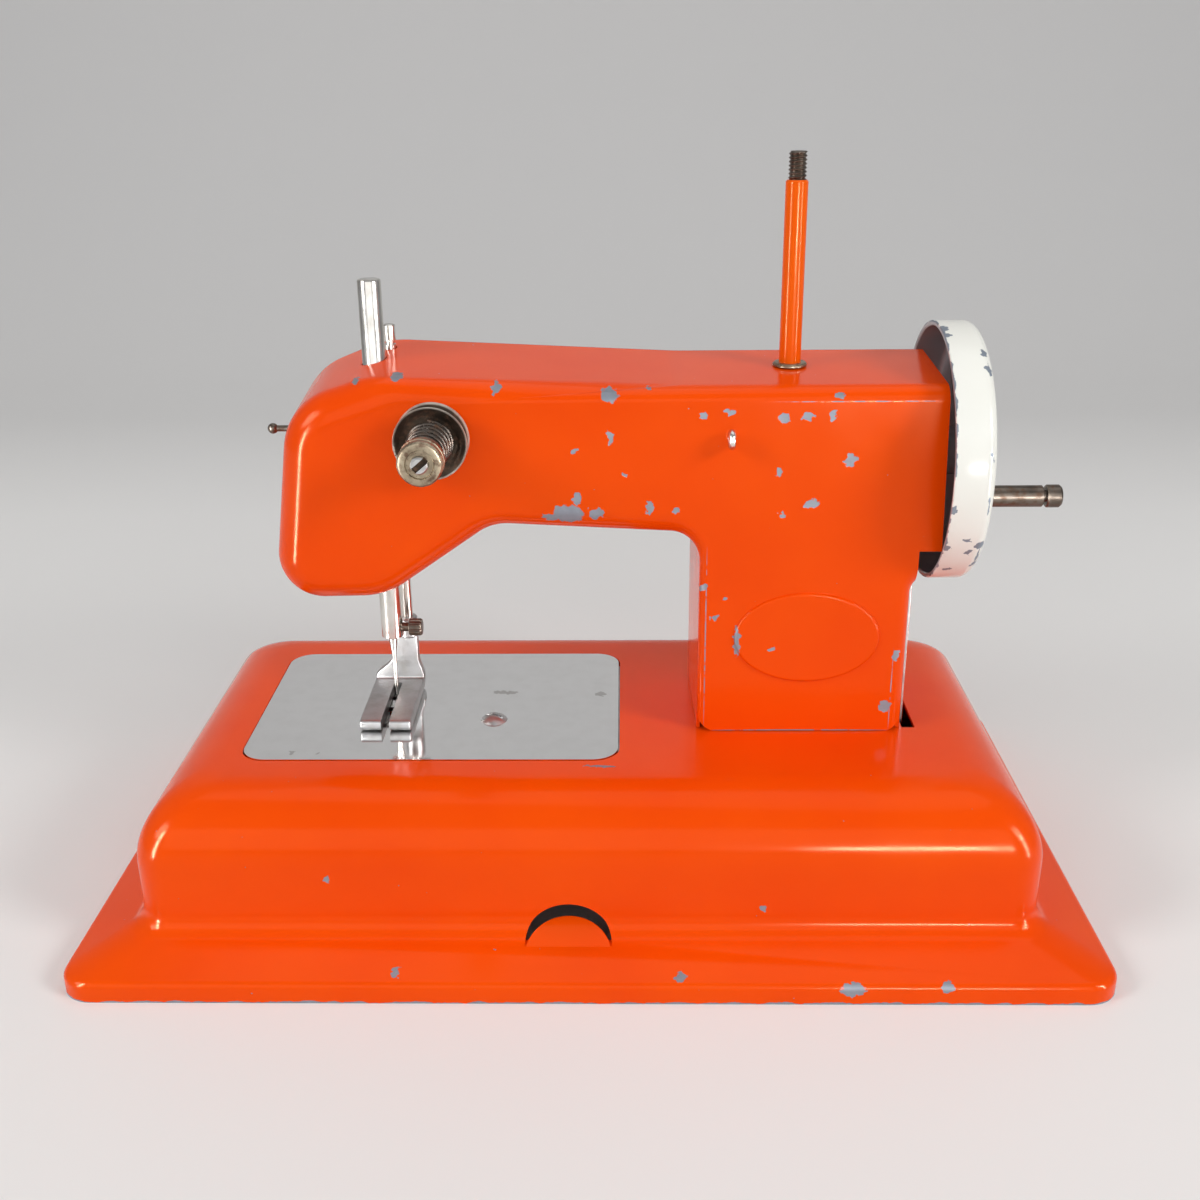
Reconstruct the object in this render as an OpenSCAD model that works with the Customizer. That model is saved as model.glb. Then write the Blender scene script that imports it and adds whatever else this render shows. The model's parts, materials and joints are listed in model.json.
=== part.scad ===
// Toy sewing machine of pressed steel with a hand crank. Millimetres.
// The origin is on the ground under the middle of the base. The handwheel is at +X and the back at +Y.

/* [Base] */
// Length of the base
base_length = 250; // [244:1:280]
// Width of the base, front to back
base_width = 145; // [140:1:170]
// Height of the flat top of the base
base_height = 43; // [41:1:50]
// Thickness of the base's sheet
base_sheet = 1; // [0.8:0.1:1.4]
// Height of the upright lip
lip_height = 5; // [4:0.5:7]
// Rounding along the top of the lip
lip_round = 2; // [1.6:0.1:3]
// Rise of the flange from the lip to the wall
flange_rise = 5; // [3:0.5:7]
// Distance from the lip to the upright wall
wall_inset = 15.5; // [13:0.5:18]
// Rounding between flange and wall
wall_foot_radius = 5; // [3:0.5:7]
// Rounding of the shoulder between wall and top
shoulder_radius = 17; // [12:1:19]
// Corner radius of the lip and the wall seen from above
base_corner = 8; // [5:0.5:11]
// Place of the clamp tongue along the front wall
clamp_x = -4.5; // [-30:0.5:30]
// Radius of the half-moon clamp tongue
clamp_radius = 10.7; // [8:0.1:11.5]
// Depth of the half-moon's middle below its chord
clamp_sink = 2.1; // [1:0.1:3]
// Angle at which the clamp tongue is pushed in
clamp_bend = 62; // [50:1:66]

/* [Needle plate] */
// Distance from the plate's left end to where the base rounds off
plate_end_margin = 4.9; // [4:0.1:12]
// Distance from the plate's long sides to where the base rounds off
plate_side_margin = 7.25; // [5:0.25:11]
// Distance from the plate's right end to the column
plate_to_column = 19.55; // [15:0.05:28]
// Thickness of the needle plate
plate_sheet = 1.2; // [1:0.1:1.6]
// Corner radius of the needle plate
plate_corner = 6.5; // [3:0.5:10]
// Gap around the needle plate
plate_gap = 0.4; // [0.2:0.1:0.8]
// Reach of the strips under the plate beyond its edge
plate_ledge = 3.5; // [2.5:0.1:3.9]
// Thickness of the strips under the plate
strip_sheet = 1.2; // [1:0.1:2]
// Distance of the plate screw to the right of the needle
plate_screw_side = 27.6; // [24:0.1:32]
// Distance of the plate screw in front of the needle
plate_screw_front = 12.9; // [11.5:0.1:18]
// Diameter of the plate screw's head
plate_screw_head = 7.1; // [6:0.1:8]
// Diameter of the plate screw's thread
plate_screw_d = 4; // [3:0.1:4.5]
// Diameter of the needle hole
needle_hole = 2.6; // [2.2:0.1:4]

/* [Casing] */
// Distance of the shaft's plane behind the middle of the base
mech_y = 2.5; // [0:0.5:5]
// Depth of the casing in front of the shaft's plane
casing_front = 19.5; // [19:0.5:22]
// Depth of the casing behind the shaft's plane
casing_back = 19.5; // [19:0.5:21]
// Distance of the seam behind the shaft's plane
seam_back = 14; // [13.6:0.1:14.2]
// Depth of the lap inside the seam
seam_lap = 3; // [1.5:0.5:3]
// Gap along the seam
seam_gap = 0.2; // [0.1:0.05:0.4]
// Thickness of the casing's sheet
casing_sheet = 0.9; // [0.7:0.1:1]
// Rounding along the front edges
casing_edge = 7.5; // [6:0.5:8]
// Rounding along the back edges
casing_back_edge = 5; // [4:0.5:5]
// Draft of the front casing's walls
casing_draft = 0.8; // [0.4:0.1:1.2]
// Height of the arm's top above the shaft
arm_top = 22.7; // [20.4:0.1:25.4]
// Height of the head's top above the shaft
head_top = 26.2; // [24.4:0.1:29.4]
// Depth of the head's underside below the shaft
head_under = 35; // [32.6:0.1:37.6]
// Depth of the arm's underside below the shaft
arm_under = 15; // [13.6:0.1:17.6]
// Drop of the arm's underside at the column
arm_under_drop = 2.6; // [1:0.1:4]
// Reach of the head to the left of the needle
head_reach = 27.8; // [26:0.1:31]
// Middle of the column
column_x = 54.2; // [53:0.1:57]
// Width of the column
column_width = 54.5; // [53:0.5:58]
// Overhang of the arm beyond the column
arm_overhang = 4.5; // [4:0.1:5]
// Lean of the arm's end, outwards at its foot
arm_end_lean = 1.2; // [0:0.1:1.5]
// Depth of the arm's end below the shaft
arm_end_drop = 20.4; // [19:0.1:22]
// Rounding of the front face's lower corners
foot_round = 5.5; // [3:0.5:7]
// Half length of the oval badge
badge_half_length = 18.3; // [14:0.1:20]
// Half height of the oval badge
badge_half_height = 12; // [9:0.1:14]
// Height of the badge's middle above the base
badge_height = 26.4; // [22:0.1:32]
// Height by which the badge stands proud
badge_rise = 0.8; // [0.3:0.1:1]

/* [Drive] */
// Height of the main shaft above the base
shaft_height = 69.6; // [69:0.1:71]
// Diameter of the main shaft
shaft_d = 6; // [5:0.1:7]
// Distance of the needle to the left of the middle
needle_left = 53; // [51:0.1:55]
// Throw of the needle crank, half the needle's stroke
needle_throw = 9; // [7:0.1:9]
// Throw of the feed eccentric
feed_throw = 2; // [1:0.1:2.4]
// Radius of the feed eccentric
feed_cam_radius = 8; // [7:0.1:8.5]
// Outer radius of the handwheel
wheel_radius = 32.3; // [31:0.1:36]
// Width of the handwheel's rim
wheel_width = 9.9; // [9:0.1:14]
// Gap between the column's end plane and the rim's left edge
wheel_set = 0.3; // [-0.5:0.1:3]
// Thickness of the handwheel's sheet
wheel_sheet = 1.3; // [1:0.1:1.6]
// Rounding of the rim's outer edge
wheel_edge = 2.6; // [2:0.1:4]
// Distance of the crank handle from the shaft
handle_radius = 23.1; // [18:0.1:26]
// Angle of the crank handle below the front at rest
handle_angle = 13.3; // [-60:0.1:60]
// Diameter of the handle's sleeve
handle_d = 5.2; // [4.2:0.1:6]
// Diameter of the handle's end collar
handle_collar = 5.5; // [5.4:0.1:8]
// Length of the handle from the wheel to its end
handle_length = 17.9; // [14:0.1:24]

/* [Needle and presser] */
// Diameter of the needle bar
needle_bar_d = 5.8; // [5:0.1:6.4]
// Height of the needle bar's foot above the base
needle_bar_foot = 18.7; // [18.6:0.1:21]
// Height of the needle bar's top above the shaft
needle_bar_top = 43.6; // [40.4:0.1:50.4]
// Height of the needle's point above the base
needle_point = 0.9; // [0.6:0.1:3]
// Distance of the presser bar to the right of the needle
presser_side = 2.9; // [2:0.1:3.2]
// Distance of the presser bar behind the needle
presser_back = 8; // [7.8:0.1:8.4]
// Diameter of the presser bar
presser_bar_d = 3; // [2.4:0.1:3.2]
// Height of the presser bar's top above the shaft
presser_bar_top = 31.2; // [29.4:0.1:38.4]
// Width of the presser foot
foot_width = 13.4; // [11:0.1:15]
// Width of the gap between the foot's toes
foot_gap = 2.2; // [1.8:0.1:3]
// Thickness of the presser foot
foot_sheet = 2.6; // [2:0.1:2.8]
// Reach of the toes in front of the needle
foot_reach = 20.5; // [14:0.1:22]
// Height of the foot's sole above the needle plate
foot_rise = 0.5; // [0.3:0.1:0.6]

/* [Thread parts] */
// Distance of the spool pin to the left of the column's middle
spool_side = 4; // [3.6:0.1:6]
// Diameter of the spool pin
spool_d = 5.4; // [4.8:0.1:6]
// Height of the painted spool pin
spool_length = 43.3; // [35:0.1:50]
// Diameter of the spool pin's threaded ends
spool_thread_d = 4.4; // [4:0.1:4.6]
// Length of the spool pin's threaded tip
spool_tip = 6.5; // [4:0.1:10]
// Distance of the tension stud to the right of the needle
tension_side = 16.3; // [15.5:0.1:20]
// Height of the tension stud above the shaft
tension_rise = 8.8; // [8:0.1:10]
// Diameter of the tension stud
tension_stud_d = 4; // [3.4:0.1:4.6]
// Diameter of the tension discs
tension_disc_d = 17.8; // [15:0.1:20]
// Depth of the dish of a tension disc
tension_dish = 2.2; // [1.4:0.1:2.6]
// Length of the tension spring
tension_spring_length = 14; // [12:0.1:18]
// Coils of the tension spring
tension_coils = 5.5; // [4:0.5:6]
// Wire of the tension spring
tension_wire = 0.9; // [0.7:0.1:1]
// Diameter of the spring's wide end, at the middle of its wire
tension_wide = 10.6; // [9.6:0.1:11]
// Diameter of the spring's narrow end, at the middle of its wire
tension_narrow = 8.2; // [7.4:0.1:9]
// Diameter of the tension nut
tension_nut_d = 10.6; // [9:0.1:12]
// Thickness of the tension nut
tension_nut_h = 5; // [4:0.1:7]
// Distance of the thread eyelet to the left of the column's middle
eyelet_side = 19.5; // [16:0.1:24]
// Wire of the thread eyelet
eyelet_wire = 1.8; // [1.4:0.1:2]
// Inner diameter of the thread eyelet
eyelet_hole = 1.4; // [1:0.1:2]
// Height of the thread stud above the shaft
thread_stud_rise = 6.4; // [2:0.1:9]
// Length of the thread stud outside the casing
thread_stud_length = 5.2; // [4:0.1:7]

/* [Rocker and feed] */
// Height of the rocker's pivot above the base
pivot_height = 33; // [32:0.1:35]
// Depth of the rock shaft below the top of the base
rock_drop = 21; // [20.5:0.1:22]
// Length of the driven arm on the rock shaft
rock_arm = 16; // [15:0.1:16.2]
// Diameter of the rock shaft
rock_shaft_d = 5; // [4:0.1:5.4]
// Distance of the rocker to the right of the column's middle
rocker_side = 7.2; // [7:0.1:8]
// Thickness of levers and arms
lever_sheet = 2; // [1.6:0.1:2.2]
// Width of the feed teeth
feed_width = 6.8; // [5:0.1:8]
// Length of the feed teeth
feed_length = 7; // [5:0.1:8]
// Play that the feed slot leaves beyond the feed's travel
feed_play = 0.5; // [0.3:0.1:1]

/* [Fits] */
// Clearance of a turning or sliding fit, on the radius
fit = 0.06; // [0.03:0.01:0.1]
// Clearance of pins in slots and of tabs
slot_gap = 0.3; // [0.25:0.05:0.4]
// Gap left at the two opened links
open_gap = 0.4; // [0.3:0.1:0.8]

/* [Hidden] */
$fn = 48;
// Small overlap of a cut beyond the surface that it cuts
cut = 1;
// Room for cuts that go right out of the model
far = 200;

// Shared lines and heights
deck = base_height;
deck_under = deck - base_sheet;
needle_x = -needle_left;
presser_x = needle_x + presser_side;
presser_y = mech_y + presser_back;
shaft_z = deck + shaft_height;
pivot_z = deck + pivot_height;
rock_z = deck - rock_drop;
plate_top = deck_under + plate_sheet;
front_y = mech_y - casing_front;
back_y = mech_y + casing_back;
seam_y = mech_y + seam_back;
inner_front = front_y + casing_sheet;
inner_back = back_y - casing_sheet;
column_left = column_x - column_width / 2;
column_right = column_x + column_width / 2;
arm_end = column_right + arm_overhang;

// Motion
lever_angle = asin(feed_throw / (shaft_z - pivot_z));
rock_pin_z = rock_z + rock_arm;
rock_angle = lever_angle * (pivot_z - rock_pin_z) / rock_arm;

// Finishes
orange = "#e8480c";
cream = "#efece0";
nickel = "#c6c8cb";
steel = "#9a9c9f";
dark_steel = "#6b6259";
bronze = "#84694c";

// Helpers

function unit(v) = v / norm(v);

// Points of one rounded corner of an outline, with the outline moved inwards by inset
corner_steps = 6;
function corner_arc(before, at, after, radius, inset) =
    let (
        into = unit(at - before),
        out = unit(after - at),
        normal_in = [-into.y, into.x],
        normal_out = [-out.y, out.x],
        turn = into.x * out.y - into.y * out.x,
        side = turn > 0 ? 1 : -1,
        centre = at + (normal_in + normal_out) * side * radius / (1 + into * out),
        reach = radius - side * inset,
        start = atan2(-side * normal_in.y, -side * normal_in.x),
        sweep = atan2(turn, into * out)
    )
    [for (i = [0:corner_steps]) centre + reach * [cos(start + sweep * i / corner_steps),
                                                 sin(start + sweep * i / corner_steps)]];

// One closed skin through a row of rings of points. Each flat end is made of patches. A patch is a list of
// places on the ring, and triangles close it from side to side.
module skin(rings, patches) {
    count = len(rings[0]);
    last = len(rings) - 1;
    end = last * count;
    sides = [
        for (k = [0:last - 1]) for (i = [0:count - 1])
            let (a = k * count + i, b = k * count + (i + 1) % count, c = b + count, d = a + count)
            each [[a, d, c], [a, c, b]]
    ];
    ends = [
        for (patch = patches) for (t = patch_triangles(patch))
            each [t, [end + t[2], end + t[1], end + t[0]]]
    ];
    polyhedron(points = [for (ring = rings) for (p = ring) p], faces = concat(sides, ends), convexity = 10);
}

// Triangles that close a patch, taken in turn from its two sides
function patch_triangles(patch) =
    let (high = len(patch) - 1)
    [for (k = [0:high - 2])
        let (a = floor((k + 1) / 2), b = high - floor(k / 2))
        k % 2 == 0 ? [patch[a], patch[a + 1], patch[b]] : [patch[a], patch[b - 1], patch[b]]];

// Cylinder along X from one place to another
module rod_x(from, to, d) {
    translate([from, 0, 0]) rotate([0, 90, 0]) cylinder(h = to - from, d = d);
}

// Cylinder along Y from one place to another
module rod_y(from, to, d) {
    translate([0, from, 0]) rotate([-90, 0, 0]) cylinder(h = to - from, d = d);
}

// Box between two corners
module block(low, high) {
    translate(low) cube(high - low);
}

// Flat plate with rounded corners, centred in X and Y
module rounded_plate(length, width, corner, low, high) {
    translate([0, 0, low]) linear_extrude(high - low) rounded_outline(length, width, corner);
}

module rounded_outline(length, width, corner) {
    square([length - 2 * corner, width], center = true);
    square([length, width - 2 * corner], center = true);
    for (x = [-1, 1], y = [-1, 1])
        translate([x * (length / 2 - corner), y * (width / 2 - corner)]) circle(corner);
}

// Waste of a rounded square corner at the origin, with sides along +X and +Y
module corner_waste(radius) {
    difference() {
        translate([-cut, -cut]) square(radius + cut);
        translate([radius, radius]) circle(radius);
    }
}

// Wire bent along a row of points, as a closed tube
wire_sides = 6;
module wire_tube(path, wire, up) {
    last = len(path) - 1;
    rings = [
        for (k = [0:last])
            let (
                along = unit(path[min(k + 1, last)] - path[max(k - 1, 0)]),
                across = unit(cross(up, along)),
                over = cross(along, across)
            )
            [for (s = [0:wire_sides - 1])
                path[k] + wire / 2 * (across * cos(s * 360 / wire_sides) + over * sin(s * 360 / wire_sides))]
    ];
    skin(rings, [[for (s = [0:wire_sides - 1]) s]]);
}

// Base

flange_slope = atan(flange_rise / wall_inset);

// Height of the flange at a distance from the lip, for a surface set in by t
function flange_z(inset, t) = lip_height + inset * tan(flange_slope) - t / cos(flange_slope);

foot_fillet_inset = wall_inset - wall_foot_radius;
foot_fillet_z = flange_z(foot_fillet_inset, 0) + wall_foot_radius / cos(flange_slope);
lip_fillet_z = flange_z(lip_round, 0) - lip_round / cos(flange_slope);

// Section of the flange with its lip across a span, set in by t
module flange_section(span, t) {
    half = span / 2;
    wall = half - wall_inset;
    low = t > 0 ? -cut : 0;
    difference() {
        polygon([
            [t - half, low], [half - t, low], [half - t, flange_z(t, t)], [wall, flange_z(wall_inset, t)],
            [-wall, flange_z(wall_inset, t)], [t - half, flange_z(t, t)]
        ]);
        for (side = [0, 1]) mirror([side, 0]) lip_waste(half, t);
    }
}

// What the rounding takes off the top of the lip
module lip_waste(half, t) {
    radius = lip_round - t;
    touch = [half - lip_round + radius * sin(flange_slope), lip_fillet_z + radius * cos(flange_slope)];
    difference() {
        polygon([
            [half - t, lip_fillet_z], touch, [touch.x, touch.y + cut], [half - t + cut, touch.y + cut],
            [half - t + cut, lip_fillet_z]
        ]);
        translate([half - lip_round, lip_fillet_z]) circle(radius);
    }
}

// Section of the wall and the shoulder across a span, set in by t
module wall_section(span, t) {
    wall = span / 2 - wall_inset;
    low = t > 0 ? -cut : 0;
    translate([t - wall, low]) square([2 * (wall - t), deck - shoulder_radius - low]);
    translate([shoulder_radius - wall, low]) square([2 * (wall - shoulder_radius), deck - t - low]);
    for (side = [-1, 1])
        translate([side * (wall - shoulder_radius), deck - shoulder_radius]) circle(shoulder_radius - t);
}

// Section of the rounding at the wall's foot, whose face is at x = 0, set in by t
module foot_section(t) {
    radius = wall_foot_radius + t;
    touch = [wall_foot_radius - radius * sin(flange_slope), foot_fillet_z - radius * cos(flange_slope)];
    difference() {
        polygon([[-t - cut, foot_fillet_z], [-t, foot_fillet_z], touch, [-t - cut, touch.y]]);
        translate([wall_foot_radius, foot_fillet_z]) circle(radius);
    }
}

// Solid shape of the pan with its surface set in by t
module pan_form(t) {
    wall_size = [base_length - 2 * wall_inset, base_width - 2 * wall_inset];
    difference() {
        intersection() {
            rotate([90, 0, 90]) linear_extrude(base_length, center = true) flange_section(base_width, t);
            rotate([90, 0, 0]) linear_extrude(base_width, center = true) flange_section(base_length, t);
        }
        for (x = [0, 1], y = [0, 1]) mirror([x, 0, 0]) mirror([0, y, 0])
            translate([base_length / 2 - t, base_width / 2 - t, -2 * cut]) rotate([0, 0, 180])
                linear_extrude(deck) corner_waste(base_corner - t);
    }
    intersection() {
        rotate([90, 0, 90]) linear_extrude(base_length, center = true) wall_section(base_width, t);
        rotate([90, 0, 0]) linear_extrude(base_width, center = true) wall_section(base_length, t);
        rounded_plate(wall_size.x - 2 * t, wall_size.y - 2 * t, base_corner - t, -2 * cut, deck);
    }
    for (side = [0, 180]) rotate([0, 0, side]) {
        translate([-wall_size.x / 2 + base_corner, wall_size.y / 2, 0]) rotate([90, 0, 90])
            linear_extrude(wall_size.x - 2 * base_corner) foot_section(t);
        translate([wall_size.x / 2, wall_size.y / 2 - base_corner, 0]) rotate([90, 0, 0])
            linear_extrude(wall_size.y - 2 * base_corner) foot_section(t);
    }
    for (x = [0, 1], y = [0, 1]) mirror([x, 0, 0]) mirror([0, y, 0])
        translate([wall_size.x / 2 - base_corner, wall_size.y / 2 - base_corner, 0])
            rotate_extrude(angle = 90) translate([base_corner, 0]) foot_section(t);
}

// Distance from the lip to the flat part of the top
flat_inset = wall_inset + shoulder_radius;
plate_left = flat_inset + plate_end_margin - base_length / 2;
plate_right = column_left - plate_to_column;
plate_length = plate_right - plate_left;
plate_width = base_width - 2 * (flat_inset + plate_side_margin);
plate_x = (plate_left + plate_right) / 2;
plate_screw_x = needle_x + plate_screw_side;
plate_screw_y = mech_y - plate_screw_front;
clamp_wall = -(base_width / 2 - wall_inset);
clamp_y = clamp_wall - wall_foot_radius;
clamp_chord = flange_z(foot_fillet_inset, 0);
lever_x = column_x + rocker_side - lever_sheet / 2;
lever_room = 1;
lever_slot = [lever_sheet + 2 * lever_room, 21];
tab_width = 8;
tab_reach = 5;
side_slot = [3.4, 34];
side_slot_front = mech_y - side_slot.y / 2 - slot_gap;
clamp_cut = wall_foot_radius + base_sheet + 2 * cut;
tongue_root = base_sheet / 4;
tab_slot_x = column_left + casing_draft;

module base_pan() {
    color(orange) {
        difference() {
            pan_form(0);
            pan_form(base_sheet);
            translate([plate_x, 0, 0])
                rounded_plate(plate_length + 2 * plate_gap, plate_width + 2 * plate_gap,
                              plate_corner + plate_gap, deck_under - cut, deck + cut);
            lever_opening(deck_under - cut, deck + cut);
            translate([column_right - slot_gap, side_slot_front, deck_under - cut])
                cube([side_slot.x, side_slot.y, base_sheet + 2 * cut]);
            translate([tab_slot_x - slot_gap, mech_y - tab_width / 2 - slot_gap, deck_under - cut])
                cube([casing_sheet + 2 * slot_gap, tab_width + 2 * slot_gap, base_sheet + 2 * cut]);
            translate([clamp_x, clamp_y - cut, clamp_chord]) clamp_disc(clamp_radius, clamp_cut);
        }
        translate([clamp_x, clamp_y, clamp_chord - tongue_root])
            rotate([-clamp_bend, 0, 0]) clamp_disc(clamp_radius - slot_gap, base_sheet);
    }
}

// Half-moon that stands on its chord and runs back from y = 0
module clamp_disc(radius, depth) {
    intersection() {
        translate([0, 0, -clamp_sink]) rod_y(0, depth, 2 * radius);
        block([-radius, -cut, 0], [radius, depth + cut, radius]);
    }
}

// Opening for the rocker lever, also in its bracket
module lever_opening(low, high) {
    translate([lever_x + lever_sheet / 2 - lever_slot.x / 2, mech_y - lever_slot.y / 2, low])
        cube([lever_slot.x, lever_slot.y, high - low]);
}

// Needle plate

plate_bar_width = 10;
strip_low = deck_under - strip_sheet;

// Strips under the base that carry the two ends of the plate
module plate_ledges() {
    color(steel) for (side = [-1, 1]) translate([plate_x + side * plate_length / 2, 0, 0])
        block([-plate_ledge, plate_corner - plate_width / 2, strip_low],
              [plate_ledge, plate_width / 2 - plate_corner, deck_under]);
}

// Bar under the base that carries the middle of the plate and takes its screw
module plate_bar() {
    color(steel) difference() {
        block([plate_screw_x - plate_bar_width / 2, -plate_width / 2 - plate_ledge, strip_low],
              [plate_screw_x + plate_bar_width / 2, plate_width / 2 + plate_ledge, deck_under]);
        translate([plate_screw_x, plate_screw_y, 0]) cylinder(h = far, d = plate_screw_d + 2 * fit);
    }
}

feed_drop = 4.5;
feed_front = 11.5;
feed_pin_z = deck - feed_drop;
feed_travel = (feed_pin_z - rock_z) * sin(rock_angle);
feed_y = mech_y - feed_front;

module needle_plate() {
    color(nickel) difference() {
        translate([plate_x, 0, 0])
            rounded_plate(plate_length, plate_width, plate_corner, deck_under, plate_top);
        translate([plate_screw_x, plate_screw_y, 0]) cylinder(h = far, d = plate_screw_d + 2 * fit);
        translate([needle_x, mech_y, 0]) cylinder(h = far, d = needle_hole);
        translate([needle_x, feed_y, deck]) cube([feed_width + 2 * feed_play,
            feed_length + 2 * feed_travel + 2 * feed_play, far], center = true);
    }
}

plate_screw_rise = 1.6;
plate_screw_depth = 5;
plate_screw_slot = [plate_screw_head, 1.1, plate_screw_rise];
plate_screw_turn = -20;

module plate_screw() {
    dome = (plate_screw_head * plate_screw_head / 4 + plate_screw_rise * plate_screw_rise)
        / (2 * plate_screw_rise);
    color(steel) translate([plate_screw_x, plate_screw_y, plate_top]) difference() {
        union() {
            intersection() {
                translate([0, 0, plate_screw_rise - dome]) sphere(dome);
                cylinder(h = plate_screw_rise + cut, d = plate_screw_head);
            }
            translate([0, 0, -plate_screw_depth]) cylinder(h = plate_screw_depth, d = plate_screw_d);
        }
        translate([0, 0, plate_screw_rise]) rotate([0, 0, plate_screw_turn])
            cube(plate_screw_slot, center = true);
    }
}

// Casing

head_left = needle_x - head_reach;
// Run and fall of the head's upper left slope
head_slope = [7.2, 8.6];
// Where the arm's underside, the crown and the chin lie, to the right of the needle
arm_start = 30;
crown_side = 1;
chin_side = 2;
chin_rise = 0.5;
// Where the arm's top starts to rise, to the left of the column
arm_rise_start = 5;
// How far the arm, the crown and the slope sink from the seam to the front
arm_sink = 1.2;
crown_sink = 2.6;
slope_sink = 1;
// How far the outline runs on past what is cut off it
spare = 24;
under_spare = 9;
// Roundings of the outline, seen from the front
spare_round = 12;
arm_rise_round = 80;
crown_round = 26;
slope_round = 18;
head_round = 12;
chin_round = 20;
arm_start_round = 12;
column_top_round = 6;
under_arm_round = 3;
// Corners of the casing: x, height, rounding, and how far the corner sinks towards the front
casing_corners = [
    [arm_end + spare, shaft_z + arm_top, spare_round, arm_sink],
    [column_left - arm_rise_start, shaft_z + arm_top, arm_rise_round, arm_sink],
    [needle_x + crown_side, shaft_z + head_top, crown_round, crown_sink],
    [head_left + head_slope.x, shaft_z + head_top - head_slope.y, slope_round, slope_sink],
    [head_left, shaft_z - head_under, head_round, 0],
    [needle_x + chin_side, shaft_z - head_under + chin_rise, chin_round, 0],
    [needle_x + arm_start, shaft_z - arm_under, arm_start_round, 0],
    [column_left, shaft_z - arm_under - arm_under_drop, column_top_round, 0],
    [column_left, deck - spare, spare_round, 0],
    [column_right, deck - spare, spare_round, 0],
    [column_right, shaft_z - arm_end_drop - under_spare, under_arm_round, 0],
    [arm_end + spare, shaft_z - arm_end_drop - under_spare, spare_round, 0]
];

// Ring of the casing at depth y, set in by inset, with a share of the corners' sinking
function casing_ring(y, inset, share) =
    let (
        count = len(casing_corners),
        at = [for (c = casing_corners) [c[0], c[1] - c[3] * share]]
    )
    [for (i = [0:count - 1])
        let (before = at[(i + count - 1) % count], after = at[(i + 1) % count], radius = casing_corners[i][2])
            for (p = corner_arc(before, at[i], after, radius, inset)) [p.x, y, p.y]];

// Places on a casing ring from one point to another
corner_points = corner_steps + 1;
corner_middle = corner_steps / 2;
function ring_run(first, last) = [for (i = [first:last]) i % (len(casing_corners) * corner_points)];

// Flat faces of the casing: the head, the column and the arm
head_patch = ring_run(2 * corner_points + corner_middle, 6 * corner_points + corner_middle);
column_patch = ring_run(7 * corner_points + corner_middle, 10 * corner_points + corner_middle);
arm_patch = concat(
    ring_run(6 * corner_points + corner_middle, 7 * corner_points + corner_middle),
    ring_run(10 * corner_points + corner_middle, 14 * corner_points + corner_middle)
);
casing_patches = [head_patch, column_patch, arm_patch];

// Height of the arm's top over the shaft, and its slope to the front
draft_depth = seam_back + casing_front - casing_edge;
draft_share = seam_back / draft_depth;
arm_top_fall = (casing_draft + arm_sink) / draft_depth;
arm_top_z = shaft_z + arm_top - arm_top_fall * seam_back;

// What is cut off both casings: the foot, the arm's leaning end and the space under it
module casing_waste() {
    under = shaft_z - arm_end_drop;
    side = column_right + casing_draft / 4;
    translate([0, far, 0]) rotate([90, 0, 0]) linear_extrude(2 * far) polygon([
        [-far, deck], [-far, -far], [far, -far], [far, far], [arm_end, far], [arm_end, shaft_z + arm_top],
        [arm_end + arm_end_lean, under], [side, under], [side, deck]
    ]);
}

tension_x = needle_x + tension_side;
tension_z = shaft_z + tension_rise;
spool_x = column_x - spool_side;
eyelet_x = column_x - eyelet_side;
eyelet_z = tension_z;
thread_stud_z = shaft_z + thread_stud_rise;
// Places of the casing's screws: from the column's foot, and from the needle and the shaft
low_post = [11, 17];
high_post = [41, 8];
post_places = [
    [column_left + low_post.x, deck + low_post.y],
    [needle_x + high_post.x, shaft_z + high_post.y]
];
post_d = 6;
casing_screw_d = 3;
bar_room = 1;
head_opening = 4;
outer_step = 15;
inner_step = 22.5;
eyelet_shank = eyelet_wire;
thread_stud_d = 1.6;

module front_casing() {
    color(orange) {
        difference() {
            union() {
                skin(concat(
                    [for (a = [90:-inner_step:0]) casing_ring(
                        front_y + casing_edge - (casing_edge - casing_sheet) * sin(a),
                        casing_draft + casing_edge - (casing_edge - casing_sheet) * cos(a), 1)],
                    [casing_ring(seam_y, casing_sheet, 0), casing_ring(seam_y, 0, 0)],
                    [for (a = [0:outer_step:90]) casing_ring(
                        front_y + casing_edge * (1 - sin(a)),
                        casing_draft + casing_edge * (1 - cos(a)), 1)]
                ), casing_patches);
                badge();
            }
            casing_waste();
            for (side = [0, 1]) translate([column_x, 0, deck]) mirror([side, 0, 0])
                translate([-column_width / 2 + casing_draft, front_y + casing_edge, 0])
                    rotate([90, 0, 0]) linear_extrude(far) corner_waste(foot_round);
            translate([needle_x, mech_y, shaft_z - head_under - cut])
                cylinder(h = far, d = needle_bar_d + 2 * bar_room);
            translate([presser_x, presser_y, shaft_z - head_under - cut])
                cylinder(h = far, d = presser_bar_d + 2 * bar_room);
            translate([needle_x, mech_y - needle_bar_d / 2 - bar_room, shaft_z - head_under - cut])
                cube([presser_side, presser_back + needle_bar_d / 2 + bar_room, head_opening]);
            translate([spool_x, mech_y, shaft_z]) cylinder(h = far, d = spool_thread_d + 2 * fit);
            translate([tension_x, 0, tension_z])
                rod_y(front_y - cut, mech_y - casing_front / 2, tension_stud_d + 2 * fit);
            translate([eyelet_x, 0, eyelet_z])
                rod_y(front_y - cut, mech_y - casing_front / 2, eyelet_shank + 2 * fit);
            translate([0, mech_y, thread_stud_z]) rod_x(head_left - cut, needle_x, thread_stud_d + 2 * fit);
        }
        casing_tab();
    }
}

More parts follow.
